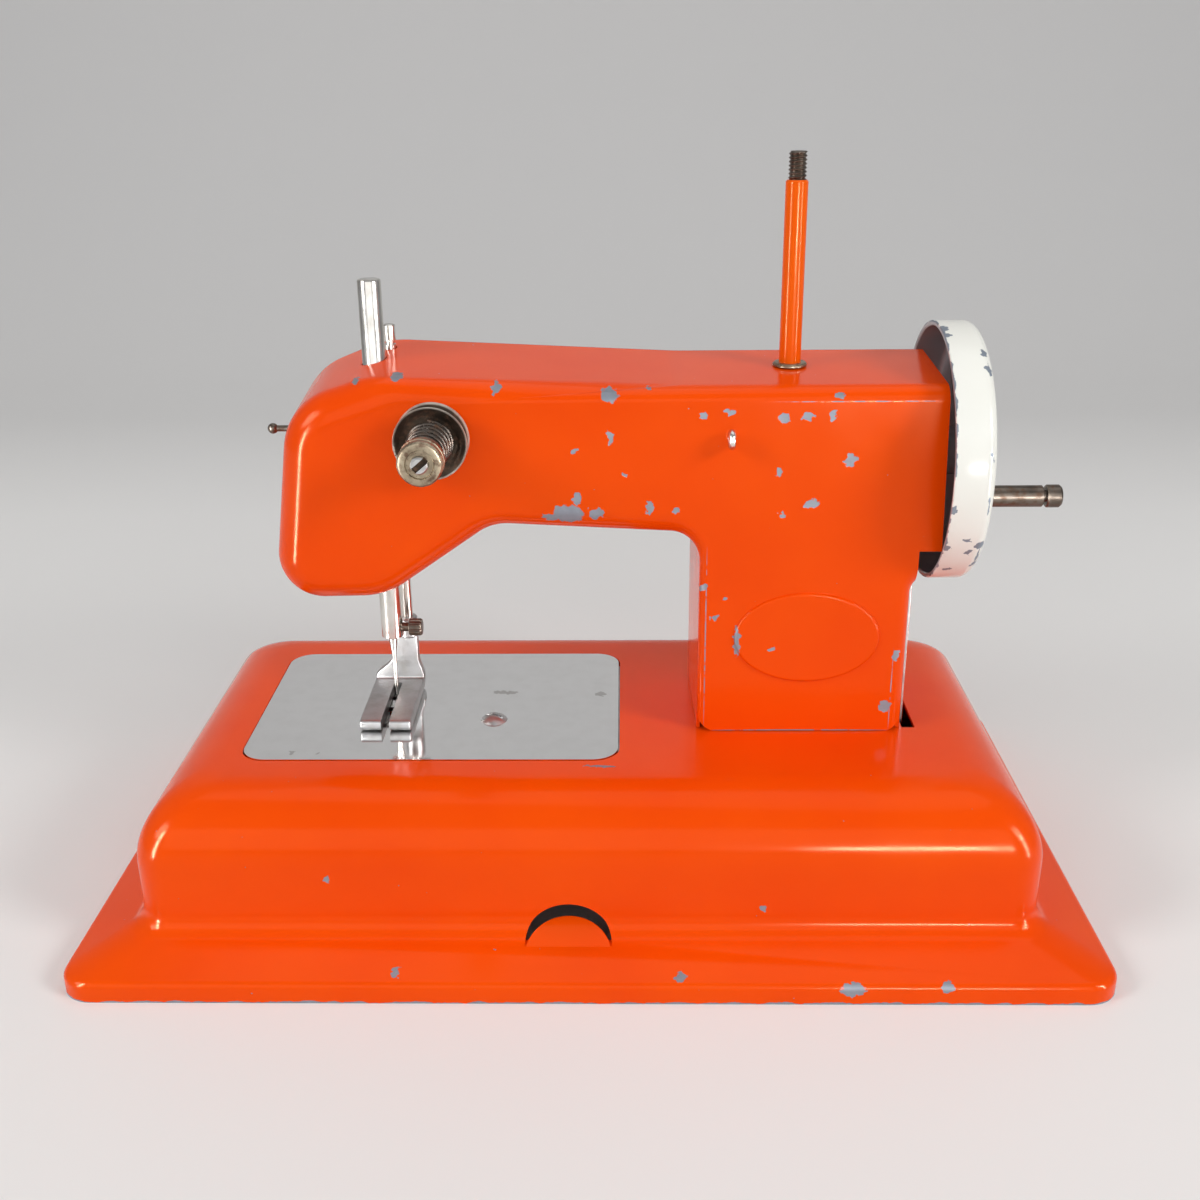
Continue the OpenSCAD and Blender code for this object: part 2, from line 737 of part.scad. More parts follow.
// Raised oval on the column's front
badge_side = 0.8;
badge_step = 6;
module badge() {
    translate([column_x + badge_side, front_y + casing_sheet / 2, deck + badge_height])
        rotate([90, 0, 0]) linear_extrude(casing_sheet / 2 + badge_rise)
            polygon([for (a = [0:badge_step:360 - badge_step])
                [badge_half_length * cos(a), badge_half_height * sin(a)]]);
}

// Tab on the column's left wall that goes through the base and is bent under it
tab_root = 3;
module casing_tab() {
    low = deck_under - slot_gap;
    translate([tab_slot_x, mech_y - tab_width / 2, 0]) {
        block([-casing_draft / 2, 0, deck], [casing_sheet - casing_draft / 2, tab_width, deck + tab_root]);
        block([0, 0, low - casing_sheet], [casing_sheet - casing_draft / 2, tab_width, deck + tab_root]);
        block([0, 0, low - casing_sheet], [tab_reach, tab_width, low]);
    }
}

lap_inset = casing_sheet + seam_gap;
flange_lead = 10.5;
flange_front = mech_y - flange_lead;
flange_height = 37;
flange_top = deck + flange_height;
flange_lap = 1;
flange_bend = 5;

module rear_casing() {
    color(orange) {
        difference() {
            skin(concat(
                [for (a = [90:-inner_step:0]) casing_ring(
                    back_y - casing_back_edge * (1 - sin(a)), casing_back_edge * (1 - cos(a)), 0)],
                [casing_ring(seam_y + seam_gap, 0, 0), casing_ring(seam_y + seam_gap, lap_inset, 0)],
                [casing_ring(seam_y - seam_lap, lap_inset, 0)],
                [casing_ring(seam_y - seam_lap, lap_inset + casing_sheet, 0)],
                [for (a = [0:inner_step:90]) casing_ring(
                    back_y - casing_back_edge + (casing_back_edge - casing_sheet) * sin(a),
                    casing_back_edge - (casing_back_edge - lap_inset - casing_sheet) * cos(a), 0)]
            ), casing_patches);
            casing_waste();
            for (p = post_places) translate([p.x, 0, p.y])
                rod_y(inner_back - cut, back_y + cut, casing_screw_d + 2 * fit);
        }
        side_flange();
    }
}

// Rear casing's flange that laps the column's right and goes into the base
module side_flange() {
    outside = column_right + slot_gap / 2;
    low = deck_under - slot_gap;
    join_y = back_y - casing_back_edge;
    edge = [outside + casing_sheet, join_y + flange_lap, flange_top];
    block([outside, flange_front, low - casing_sheet], edge);
    block([column_right - casing_sheet, join_y - seam_gap, deck], edge);
    block([outside - flange_bend, mech_y - tab_width / 2, low - casing_sheet],
          [outside + casing_sheet, mech_y + tab_width / 2, low]);
}

post_thread = 9;

module casing_posts() {
    color(steel) for (p = post_places) translate([p.x, 0, p.y]) difference() {
        rod_y(inner_front, inner_back, post_d);
        rod_y(inner_back - post_thread, inner_back + cut, casing_screw_d + 2 * fit);
    }
}

casing_screw_head = 6;
casing_screw_head_h = 1.8;
casing_screw_bite = 7;
casing_screw_slot = [casing_screw_head + cut, 1.4, 1];

module casing_screws() {
    color(steel) for (p = post_places) translate([p.x, 0, p.y]) difference() {
        union() {
            rod_y(back_y, back_y + casing_screw_head_h, casing_screw_head);
            rod_y(inner_back - casing_screw_bite, back_y + cut / 2, casing_screw_d);
        }
        translate([0, back_y + casing_screw_head_h, 0]) cube(casing_screw_slot, center = true);
    }
}

// Shaft and its bearings

bearing_sheet = 1.5;
bush_d = 10;
bush_flange = 13;
bush_flange_h = 1.5;
crank_pin = 2.1;
crank_h = 3;
yoke_reach = 6.6;
yoke_sheet = 2.4;
crank_left = needle_x + yoke_reach + yoke_sheet + open_gap + crank_pin;
crank_room = 7;
left_bracket_x = crank_left + crank_h + bush_flange_h + crank_room;
right_bracket_set = 7;
right_bracket_x = column_right - right_bracket_set;
bracket_drop = 8;
bracket_rise = 9.5;
bracket_back = 10.5;
bracket_foot = 7.5;
bracket_foot_drop = 4.5;

// Upright plate across the shaft with a foot on the inside of the front casing
module bearing_bracket(x, foot_side) {
    foot = foot_side < 0 ? [x - bracket_foot, x + bearing_sheet] : [x, x + bearing_sheet + bracket_foot];
    difference() {
        union() {
            block([x, inner_front, shaft_z - bracket_drop],
                  [x + bearing_sheet, mech_y + bracket_back, shaft_z + bracket_rise]);
            block([foot[0], inner_front, shaft_z - bracket_foot_drop],
                  [foot[1], inner_front + bearing_sheet, shaft_z + bracket_rise]);
        }
        translate([0, mech_y, shaft_z]) rod_x(x - cut, x + bearing_sheet + cut, bush_d + 2 * fit);
    }
}

module left_bearing_bracket() {
    color(steel) bearing_bracket(left_bracket_x, 1);
}

module right_bearing_bracket() {
    color(steel) bearing_bracket(right_bracket_x, -1);
}

// Flanged bush whose flange lies on one side of a bracket
module flanged_bush(x, flange_side) {
    flange = flange_side < 0 ? x - bush_flange_h : x + bearing_sheet;
    translate([0, mech_y, shaft_z]) difference() {
        union() {
            rod_x(x - bush_flange_h, x + bearing_sheet + bush_flange_h, bush_d);
            rod_x(flange, flange + bush_flange_h, bush_flange);
        }
        rod_x(x - bush_flange_h - cut, x + bearing_sheet + bush_flange_h + cut, shaft_d + 2 * fit);
    }
}

module left_bush() {
    color(bronze) flanged_bush(left_bracket_x, -1);
}

module right_bush() {
    color(bronze) flanged_bush(right_bracket_x, 1);
}

wheel_left = arm_end - wheel_set;
wheel_right = wheel_left + wheel_width;
wheel_nut_h = 3.6;
thread_end = 1;
hub_d = 12;
hub_left = right_bracket_x + bearing_sheet + bush_flange_h + slot_gap;

module main_shaft() {
    color(steel) translate([0, mech_y, shaft_z])
        rod_x(crank_left, wheel_right + wheel_nut_h + thread_end, shaft_d);
}

handle_y = mech_y - handle_radius * cos(handle_angle);
handle_z = shaft_z - handle_radius * sin(handle_angle);
rivet_d = 2.8;

// Half section of the dished wheel, along the shaft and the radius, set in by t
module wheel_section(t) {
    inner = wheel_radius - wheel_edge;
    spill = t > 0 ? cut : 0;
    translate([wheel_left - spill, 0]) square([wheel_width - wheel_edge + spill, wheel_radius - t]);
    translate([wheel_left - spill, 0]) square([wheel_width - t + spill, inner]);
    translate([wheel_right - wheel_edge, inner]) circle(wheel_edge - t);
}

module handwheel() {
    color(cream) translate([0, mech_y, shaft_z]) difference() {
        union() {
            rotate([0, 90, 0]) rotate_extrude($fn = 96) rotate([0, 0, 90]) mirror([0, 1]) difference() {
                wheel_section(0);
                wheel_section(wheel_sheet);
            }
            rod_x(hub_left, wheel_right - wheel_sheet / 2, hub_d);
        }
        rod_x(hub_left - cut, wheel_right + cut, shaft_d + 2 * fit);
        translate([0, handle_y - mech_y, handle_z - shaft_z])
            rod_x(wheel_right - wheel_edge, wheel_right + cut, rivet_d + 2 * fit);
    }
}

wheel_nut_d = 10;

module handwheel_nut() {
    color(steel) translate([0, mech_y, shaft_z]) difference() {
        translate([wheel_right, 0, 0]) rotate([0, 90, 0]) cylinder(h = wheel_nut_h, d = wheel_nut_d, $fn = 6);
        rod_x(wheel_right - cut, wheel_right + wheel_nut_h + cut, shaft_d + 2 * fit);
    }
}

rivet_head = 5;
rivet_head_h = 1.4;
collar_h = 3.6;
groove_h = 0.8;

module handle_rivet() {
    end = wheel_right + handle_length;
    color(dark_steel) translate([0, handle_y, handle_z]) {
        rod_x(wheel_right - wheel_sheet, end, rivet_d);
        rod_x(end - collar_h, end, handle_collar);
        rod_x(wheel_right - wheel_sheet - rivet_head_h, wheel_right - wheel_sheet, rivet_head);
    }
}

module handle_sleeve() {
    color(dark_steel) translate([0, handle_y, handle_z]) difference() {
        rod_x(wheel_right + slot_gap, wheel_right + handle_length - collar_h - groove_h, handle_d);
        rod_x(wheel_right, wheel_right + handle_length, rivet_d + 2 * fit);
    }
}

crank_rim = 4;
crank_d = 2 * (needle_throw + crank_rim);
crank_pin_d = 4;

module needle_crank() {
    color(steel) translate([0, mech_y, shaft_z]) {
        difference() {
            rod_x(crank_left, crank_left + crank_h, crank_d);
            rod_x(crank_left - cut, crank_left + crank_h + cut, shaft_d + 2 * fit);
        }
        translate([0, -needle_throw, 0]) rod_x(crank_left - crank_pin, crank_left + crank_h / 2, crank_pin_d);
    }
}

cam_h = 4;

module feed_cam() {
    right = lever_x - open_gap;
    color(steel) translate([0, mech_y, shaft_z]) difference() {
        translate([0, 0, -feed_throw]) rod_x(right - cam_h, right, 2 * feed_cam_radius);
        rod_x(right - cam_h - cut, right + cut, shaft_d + 2 * fit);
    }
}

// Head: bracket, bars, needle and foot

yoke_half = 4;
upper_room = 0.6;
lower_room = 9;
upper_lug = shaft_z + needle_throw + yoke_half + upper_room;
lower_lug = shaft_z - needle_throw - yoke_half - lower_room;
guide_wall = 1.2;
needle_guide_d = needle_bar_d + 2 * guide_wall;
presser_guide_d = presser_bar_d + 2 * guide_wall;
head_bracket_margin = 5;
head_bracket_left = needle_x - needle_guide_d / 2 - head_bracket_margin;
head_bracket_right = presser_x + presser_guide_d / 2 + bearing_sheet / 2;
head_bracket_bend = 4;

// Section of a bent channel that opens to +X, with its lower front corner at the origin
module channel_section(depth, height, sheet, bend) {
    intersection() {
        translate([depth, height / 2]) difference() {
            rounded_outline(2 * depth, height, bend);
            rounded_outline(2 * (depth - sheet), height - 2 * sheet, bend - sheet);
        }
        square([depth, height]);
    }
}

module head_bracket() {
    depth = presser_y + presser_guide_d / 2 + bearing_sheet / 2 - inner_front;
    height = upper_lug + bearing_sheet - lower_lug;
    color(steel) difference() {
        translate([head_bracket_left, inner_front, lower_lug]) rotate([90, 0, 90])
            linear_extrude(head_bracket_right - head_bracket_left)
                channel_section(depth, height, bearing_sheet, head_bracket_bend);
        translate([needle_x, mech_y, 0]) cylinder(h = far, d = needle_guide_d + 2 * fit);
        translate([presser_x, presser_y, 0]) cylinder(h = far, d = presser_guide_d + 2 * fit);
    }
}

// Pair of guide bushes in the two lugs of the head bracket
guide_below = 0.3;
guide_above = 3;
guide_h = bearing_sheet + guide_below + guide_above;
module guide_bushes(bar_d, guide_d) {
    for (z = [lower_lug, upper_lug]) translate([0, 0, z - guide_below]) difference() {
        cylinder(h = guide_h, d = guide_d);
        translate([0, 0, -cut]) cylinder(h = guide_h + 2 * cut, d = bar_d + 2 * fit);
    }
}

module needle_bar_bushes() {
    color(bronze) translate([needle_x, mech_y, 0]) guide_bushes(needle_bar_d, needle_guide_d);
}

module presser_bar_bushes() {
    color(bronze) translate([presser_x, presser_y, 0]) guide_bushes(presser_bar_d, presser_guide_d);
}

bar_chamfer = 0.5;
needle_shank_d = 2;
needle_socket = 8;
clamp_thread_d = 2.4;
clamp_rise = 2.7;
clamp_z = deck + needle_bar_foot + clamp_rise;

module needle_bar() {
    foot = deck + needle_bar_foot;
    length = shaft_height + needle_bar_top - needle_bar_foot;
    color(nickel) translate([needle_x, mech_y, foot]) difference() {
        union() {
            cylinder(h = length - bar_chamfer, d = needle_bar_d);
            translate([0, 0, length - bar_chamfer])
                cylinder(h = bar_chamfer, d1 = needle_bar_d, d2 = needle_bar_d - 2 * bar_chamfer);
        }
        translate([0, 0, -cut]) cylinder(h = needle_socket + cut, d = needle_shank_d + 2 * fit);
        translate([0, 0, clamp_z - foot]) rod_x(0, needle_bar_d, clamp_thread_d + 2 * fit);
    }
}

yoke_wall = 1.6;
yoke_collar_d = needle_bar_d + 2 * yoke_wall;
yoke_slot_half = needle_throw + crank_pin_d / 2 + slot_gap;
yoke_plate_half = yoke_slot_half + yoke_wall;
yoke_arm_lead = 1.2;
yoke_arm_lag = 0.5;
yoke_arm_front = needle_bar_d / 2 + yoke_arm_lead;
yoke_arm_back = needle_bar_d / 2 + yoke_arm_lag;

module needle_yoke() {
    color(steel) translate([needle_x, mech_y, shaft_z]) difference() {
        union() {
            translate([0, 0, -yoke_half]) cylinder(h = 2 * yoke_half, d = yoke_collar_d);
            block([0, -yoke_arm_front, -yoke_half], [yoke_reach + yoke_sheet / 2, yoke_arm_back, yoke_half]);
            block([yoke_reach, -yoke_plate_half, -yoke_half],
                  [yoke_reach + yoke_sheet, yoke_plate_half, yoke_half]);
        }
        translate([0, 0, -yoke_half - cut]) cylinder(h = 2 * yoke_half + 2 * cut, d = needle_bar_d + 2 * fit);
        block([yoke_reach - cut, -yoke_slot_half, -crank_pin_d / 2 - slot_gap],
              [yoke_reach + yoke_sheet + cut, yoke_slot_half, crank_pin_d / 2 + slot_gap]);
    }
}

needle_blade_d = 1.2;
needle_cone = 5;
needle_shoulder_d = 2.4;
needle_tip = 2.5;
needle_tip_d = 0.2;

module needle() {
    foot = deck + needle_bar_foot;
    point = deck + needle_point;
    color(nickel) translate([needle_x, mech_y, 0]) {
        translate([0, 0, foot - fit]) cylinder(h = needle_socket, d = needle_shank_d);
        translate([0, 0, foot - needle_cone])
            cylinder(h = needle_cone - fit, d1 = needle_blade_d, d2 = needle_shoulder_d);
        translate([0, 0, point + needle_tip])
            cylinder(h = foot - needle_cone - point - needle_tip, d = needle_blade_d);
        translate([0, 0, point]) cylinder(h = needle_tip, d1 = needle_tip_d, d2 = needle_blade_d);
    }
}

clamp_head_d = 4.6;
clamp_head_h = 3.6;
clamp_neck = 1.6;
clamp_flutes = 12;
flute_width = 0.3;
flute_depth = 0.2;

module needle_clamp_screw() {
    neck = needle_bar_d / 2 + clamp_neck;
    color(dark_steel) translate([needle_x, mech_y, clamp_z]) difference() {
        union() {
            rod_x(needle_shank_d / 2 + fit, neck + cut, clamp_thread_d);
            rod_x(neck, neck + clamp_head_h, clamp_head_d);
        }
        for (i = [1:clamp_flutes]) rotate([i * 360 / clamp_flutes, 0, 0])
            block([neck - cut, -flute_width / 2, clamp_head_d / 2 - flute_depth],
                  [neck + clamp_head_h + cut, flute_width / 2, clamp_head_d]);
    }
}

sole_z = plate_top + foot_rise;
foot_top = sole_z + foot_sheet;
foot_plate_y = presser_y - foot_sheet / 2;
socket_width = 5.2;
socket_rise = 15.5;
socket_h = 6;
socket_low = deck + socket_rise;
socket_high = socket_low + socket_h;
socket_floor = 1;
presser_bar_low = socket_low + socket_floor;
top_groove_drop = 5;
top_groove_h = 1;
top_groove_depth = 0.4;
top_groove_z = shaft_z + presser_bar_top - top_groove_drop;

module presser_bar() {
    color(nickel) translate([presser_x, presser_y, 0]) difference() {
        translate([0, 0, presser_bar_low])
            cylinder(h = shaft_z + presser_bar_top - presser_bar_low, d = presser_bar_d);
        translate([0, 0, top_groove_z]) difference() {
            cylinder(h = top_groove_h, d = presser_bar_d + cut);
            translate([0, 0, -cut])
                cylinder(h = top_groove_h + 2 * cut, d = presser_bar_d - 2 * top_groove_depth);
        }
    }
}

collar_wall = 1.5;
collar_rise = 12;
presser_collar_d = presser_bar_d + 2 * collar_wall;
presser_collar_h = 4;
presser_collar_z = lower_lug + bearing_sheet + collar_rise;

module presser_collar() {
    color(steel) translate([presser_x, presser_y, presser_collar_z]) difference() {
        cylinder(h = presser_collar_h, d = presser_collar_d);
        translate([0, 0, -cut]) cylinder(h = presser_collar_h + 2 * cut, d = presser_bar_d + 2 * fit);
    }
}

spring_curl_rings = 8;
presser_wire = 0.6;
presser_coils = 7;
presser_spring_room = 0.5;
presser_spring_d = presser_bar_d + presser_wire + 2 * presser_spring_room;
presser_spring_low = presser_collar_z + presser_collar_h + fit;
presser_spring_high = upper_lug - guide_below - fit;

// Coil round the Z axis with straight ends: mean diameters at both ends, heights, coils and wire
function coil_path(d_low, d_high, low, high, coils, wire) =
    let (
        steps = coils * spring_curl_rings,
        start = low + wire,
        end = high - wire
    )
    concat(
        [[d_low / 2, 0, low]],
        [for (i = [0:steps])
            let (share = i / steps, a = i * 360 / spring_curl_rings, d = d_low + (d_high - d_low) * share)
            [d / 2 * cos(a), d / 2 * sin(a), start + (end - start) * share]],
        [[d_high / 2 * cos(coils * 360), d_high / 2 * sin(coils * 360), high]]
    );

// Least distance between two stretches of the same wire that are half a curl or more apart
function self_gap(path, wire) =
    min([for (i = [0:len(path) - 1]) for (j = [i + spring_curl_rings / 2 + 1:1:len(path) - 1])
        norm(path[i] - path[j])]) - wire;

presser_coil = coil_path(presser_spring_d, presser_spring_d, presser_spring_low, presser_spring_high,
                         presser_coils, presser_wire);
tension_coil = coil_path(tension_wide, tension_narrow, 0, tension_spring_length, tension_coils, tension_wire);
echo(presser_spring_least_gap = self_gap(presser_coil, presser_wire));
echo(tension_spring_least_gap = self_gap(tension_coil, tension_wire));

module presser_spring() {
    color(steel) translate([presser_x, presser_y, 0]) wire_tube(presser_coil, presser_wire, coil_up);
}

// Flare of the foot's upright plate, and the flat shank that it narrows to
flare_rise = 0.5;
neck_rise = 6;
shank_width = 7.4;
shank_side = 1.2;
flare_low = foot_top + flare_rise;
neck_z = foot_top + neck_rise;
shank_left = presser_x - shank_side - shank_width / 2;
shank_right = shank_left + shank_width;
// Direction that no stretch of a coil follows, from which its rings are laid out
coil_up = [0.1, 0.05, 1];

module presser_foot() {
    toe_front = mech_y - foot_reach;
    plate_back = foot_plate_y + foot_sheet;
    color(steel) difference() {
        union() {
            block([needle_x - foot_width / 2, toe_front, sole_z],
                  [needle_x + foot_width / 2, plate_back, foot_top]);
            translate([0, plate_back, 0]) rotate([90, 0, 0]) linear_extrude(foot_sheet) polygon([
                [needle_x - foot_width / 2, sole_z], [needle_x + foot_width / 2, sole_z],
                [needle_x + foot_width / 2, flare_low], [shank_right, neck_z],
                [shank_right, presser_bar_low], [shank_left, presser_bar_low],
                [shank_left, neck_z], [needle_x - foot_width / 2, flare_low]
            ]);
            block([presser_x - socket_width / 2, presser_y - socket_width / 2, socket_low],
                  [presser_x + socket_width / 2, presser_y + socket_width / 2, socket_high]);
        }
        block([needle_x - foot_gap / 2, toe_front - cut, sole_z - cut],
              [needle_x + foot_gap / 2, mech_y + needle_hole, foot_top + cut]);
        translate([presser_x, presser_y, presser_bar_low]) cylinder(h = far, d = presser_bar_d + 2 * fit);
    }
}

// Thread parts

washer_h = 0.8;
washer_d = 8.4;
spool_seat = arm_top_z + arm_top_fall * washer_d / 2;
spool_stud = 8;

module spool_washer() {
    color(steel) translate([spool_x, mech_y, spool_seat]) difference() {
        cylinder(h = washer_h, d = washer_d);
        translate([0, 0, -cut]) cylinder(h = washer_h + 2 * cut, d = spool_thread_d + 2 * fit);
    }
}

module spool_pin() {
    color(orange) translate([spool_x, mech_y, spool_seat + washer_h]) {
        cylinder(h = spool_length, d = spool_d);
        translate([0, 0, -spool_stud]) cylinder(h = spool_stud, d = spool_thread_d);
        translate([0, 0, spool_length]) cylinder(h = spool_tip, d = spool_thread_d);
    }
}

nut_h = 3;
nut_d = 8;

module spool_pin_nut() {
    top = arm_top_z - casing_sheet - arm_top_fall * nut_d / 2 - fit;
    color(steel) translate([spool_x, mech_y, top - nut_h]) difference() {
        cylinder(h = nut_h, d = nut_d, $fn = 6);
        translate([0, 0, -cut]) cylinder(h = nut_h + 2 * cut, d = spool_thread_d + 2 * fit);
    }
}

eyelet_stand = 0.2;
eyelet_tail = 2;

module thread_eyelet() {
    ring = (eyelet_hole + eyelet_wire) / 2;
    color(nickel) translate([eyelet_x, 0, eyelet_z]) {
        translate([0, front_y - ring - eyelet_wire / 2 - eyelet_stand, 0]) rotate([0, 90, 0])
            rotate_extrude() translate([ring, 0]) circle(d = eyelet_wire);
        rod_y(front_y - eyelet_wire / 2, inner_front + eyelet_tail, eyelet_shank);
    }
}

// Where the casing's left wall lies at the thread stud
stud_share = (thread_stud_rise + head_under) / (head_top - head_slope.y + head_under);
stud_wall = head_left + stud_share * head_slope.x + casing_draft * draft_share;
thread_stud_tail = 4;
thread_ball = 2.7;

module thread_stud() {
    color(dark_steel) translate([0, mech_y, thread_stud_z]) {
        rod_x(stud_wall - thread_stud_length, stud_wall + thread_stud_tail, thread_stud_d);
        translate([stud_wall - thread_stud_length, 0, 0]) sphere(d = thread_ball);
    }
}

disc_sheet = 0.7;
disc_flat = 12.4;
seat_h = 0.8;
nut_rim = 0.6;
stud_proud = 1.2;
stud_slot = [tension_stud_d + cut, 2, 0.9];
stud_slot_turn = -40;
disc_meet = front_y - fit - tension_dish - disc_sheet;
spring_base = disc_meet - disc_sheet - fit;
seat_back = spring_base - tension_spring_length - fit;
nut_back = seat_back - seat_h - fit;

// Dished disc with its flat at z = 0 and its rim turned to +Z
module tension_disc() {
    hole = tension_stud_d / 2 + 3 * fit;
    rotate_extrude() polygon([
        [hole, 0], [disc_flat / 2, 0], [tension_disc_d / 2, tension_dish],
        [tension_disc_d / 2, tension_dish + disc_sheet], [disc_flat / 2 - disc_sheet / 2, disc_sheet],
        [hole, disc_sheet]
    ]);
}

module tension_disc_rear() {
    color(bronze) translate([tension_x, disc_meet, tension_z]) rotate([-90, 0, 0]) tension_disc();
}

module tension_disc_front() {
    color(bronze) translate([tension_x, disc_meet, tension_z]) rotate([90, 0, 0]) tension_disc();
}

module tension_spring() {
    color(dark_steel) translate([tension_x, spring_base, tension_z]) rotate([90, 0, 0])
        wire_tube(tension_coil, tension_wire, coil_up);
}

module spring_seat_washer() {
    color(bronze) translate([tension_x, 0, tension_z]) difference() {
        rod_y(seat_back - seat_h, seat_back, tension_nut_d - nut_rim);
        rod_y(seat_back - seat_h - cut, seat_back + cut, tension_stud_d + 2 * fit);
    }
}

module tension_nut() {
    front = nut_back - tension_nut_h;
    color(bronze) translate([tension_x, 0, tension_z]) difference() {
        union() {
            rod_y(front + nut_rim, nut_back, tension_nut_d);
            translate([0, front, 0]) rotate([-90, 0, 0])
                cylinder(h = nut_rim, d1 = tension_nut_d - 2 * nut_rim, d2 = tension_nut_d);
        }
        rod_y(front - cut, nut_back + cut, tension_stud_d + 2 * fit);
    }
}

module tension_stud() {
    front = nut_back - tension_nut_h - stud_proud;
    color(steel) translate([tension_x, 0, tension_z]) difference() {
        rod_y(front, inner_front + nut_h + thread_end, tension_stud_d);
        translate([0, front, 0]) rotate([0, stud_slot_turn, 0]) cube(stud_slot, center = true);
    }
}

module tension_stud_nut() {
    color(steel) translate([tension_x, inner_front, tension_z]) difference() {
        rotate([-90, 0, 0]) cylinder(h = nut_h, d = nut_d, $fn = 6);
        rod_y(-cut, nut_h + cut, tension_stud_d + 2 * fit);
    }
}

// Rocker in the column

pivot_d = 4;
cheek_gap = 13;
cheek_low = column_x + rocker_side - cheek_gap / 2;
cheek_high = cheek_low + cheek_gap;
cheek_half = 6;
lever_half = 5;
prong = 4;
rocker_foot = 3;
pivot_head_d = 6.5;
pivot_head_h = 1.5;
pivot_end = 1;
pivot_boss_d = 8;

module rocker_bracket() {
    foot_half = lever_slot.y / 2 + rocker_foot;
    color(steel) difference() {
        union() {
            block([cheek_low - bearing_sheet, mech_y - foot_half, deck],
                  [cheek_high + bearing_sheet, mech_y + foot_half, deck + bearing_sheet]);
            for (x = [cheek_low - bearing_sheet, cheek_high])
                block([x, mech_y - cheek_half, deck],
                      [x + bearing_sheet, mech_y + cheek_half, pivot_z + cheek_half]);
        }
        lever_opening(deck - cut, deck + bearing_sheet + cut);
        translate([0, mech_y, pivot_z])
            rod_x(cheek_low - bearing_sheet - cut, cheek_high + bearing_sheet + cut, pivot_d + 2 * fit);
    }
}

module rocker_pin() {
    color(steel) translate([0, mech_y, pivot_z]) {
        rod_x(cheek_low - bearing_sheet, cheek_high + bearing_sheet + pivot_end, pivot_d);
        rod_x(cheek_low - bearing_sheet - pivot_head_h, cheek_low - bearing_sheet, pivot_head_d);
    }
}

rock_pin_d = 3;

module rocker_lever() {
    fork_half = feed_cam_radius + slot_gap + prong;
    fork_top = shaft_z + feed_throw + prong;
    fork_low = shaft_z - feed_cam_radius - feed_throw - prong - lever_room;
    foot_low = rock_pin_z - rock_pin_d - lever_room;
    slot_top = rock_pin_z + rock_pin_d / 2 + lever_room;
    color(steel) translate([0, mech_y, 0]) difference() {
        union() {
            block([lever_x, -fork_half, fork_low], [lever_x + lever_sheet, fork_half, fork_top]);
            block([lever_x, -lever_half, foot_low], [lever_x + lever_sheet, lever_half, fork_low + prong]);
            translate([0, 0, pivot_z]) rod_x(cheek_low + slot_gap, cheek_high - slot_gap, pivot_boss_d);
        }
        block([lever_x - cut, -feed_cam_radius - slot_gap, fork_low + prong],
              [lever_x + lever_sheet + cut, feed_cam_radius + slot_gap, fork_top + cut]);
        translate([0, 0, pivot_z]) rod_x(cheek_low, cheek_high, pivot_d + 2 * fit);
        block([lever_x - cut, -rock_pin_d / 2 - slot_gap, foot_low - cut],
              [lever_x + lever_sheet + cut, rock_pin_d / 2 + slot_gap, slot_top]);
    }
}

// Rock shaft, looper and feed under the base

hub_wall = 2;
arm_hub_d = rock_shaft_d + 2 * hub_wall;
rock_hub = lever_sheet + hub_wall;
rock_arm_x = lever_x + lever_sheet + 2 * slot_gap;
rock_right = rock_arm_x + rock_hub + thread_end;
looper_side = 2.5;
looper_hub = 4.5;
looper_left = needle_x + looper_side;
looper_right = looper_left + looper_hub;
guide_half = 7;
guide_sheet = 1;
guide_length = 9;
feed_arm_x = needle_x + guide_half + guide_sheet + slot_gap;
feed_hub_proud = 1.5;
feed_hub = lever_sheet + feed_hub_proud;
hanger_sheet = 2;
hanger_half = 5.5;
hanger_foot = 8;
left_hanger_x = plate_screw_x - plate_bar_width / 2;
right_hanger_set = 18;
right_hanger_x = column_left + right_hanger_set;

module rock_shaft() {
    color(steel) translate([0, mech_y, rock_z]) rod_x(looper_left, rock_right, rock_shaft_d);
}

// Hanger across the rock shaft, from a height down to just below the shaft
module rock_hanger(x, top) {
    difference() {
        union() {
            block([x, mech_y - hanger_half, rock_z], [x + hanger_sheet, mech_y + hanger_half, top]);
            block([x, mech_y - hanger_half, top - hanger_sheet],
                  [x + hanger_foot, mech_y + hanger_half, top]);
            translate([0, mech_y, rock_z]) rod_x(x, x + hanger_sheet, 2 * hanger_half);
        }
        translate([0, mech_y, rock_z]) rod_x(x - cut, x + hanger_sheet + cut, rock_shaft_d + 2 * fit);
    }
}

module rock_hangers() {
    color(steel) {
        rock_hanger(left_hanger_x, strip_low);
        rock_hanger(right_hanger_x, deck_under);
    }
}

// Arm on the rock shaft: a hub and an upright plate
module shaft_arm(x, hub, top, half) {
    difference() {
        union() {
            translate([0, mech_y, rock_z]) rod_x(x, x + hub, arm_hub_d);
            block([x, mech_y - half, rock_z], [x + lever_sheet, mech_y + half, top]);
        }
        translate([0, mech_y, rock_z]) rod_x(x - cut, x + hub + cut, rock_shaft_d + 2 * fit);
    }
}

rock_arm_half = 2.4;

module rock_arm_lever() {
    color(steel) {
        shaft_arm(rock_arm_x, rock_hub, rock_pin_z + rock_arm_half, rock_arm_half);
        translate([0, mech_y, rock_pin_z])
            rod_x(lever_x - slot_gap, rock_arm_x + lever_sheet / 2, rock_pin_d);
    }
}

looper_drop = 7.6;
looper_top = deck - looper_drop;
looper_hook = 9;
looper_half = 1.8;
looper_root = 3;
hook_low = 1.2;
hook_high = 0.8;

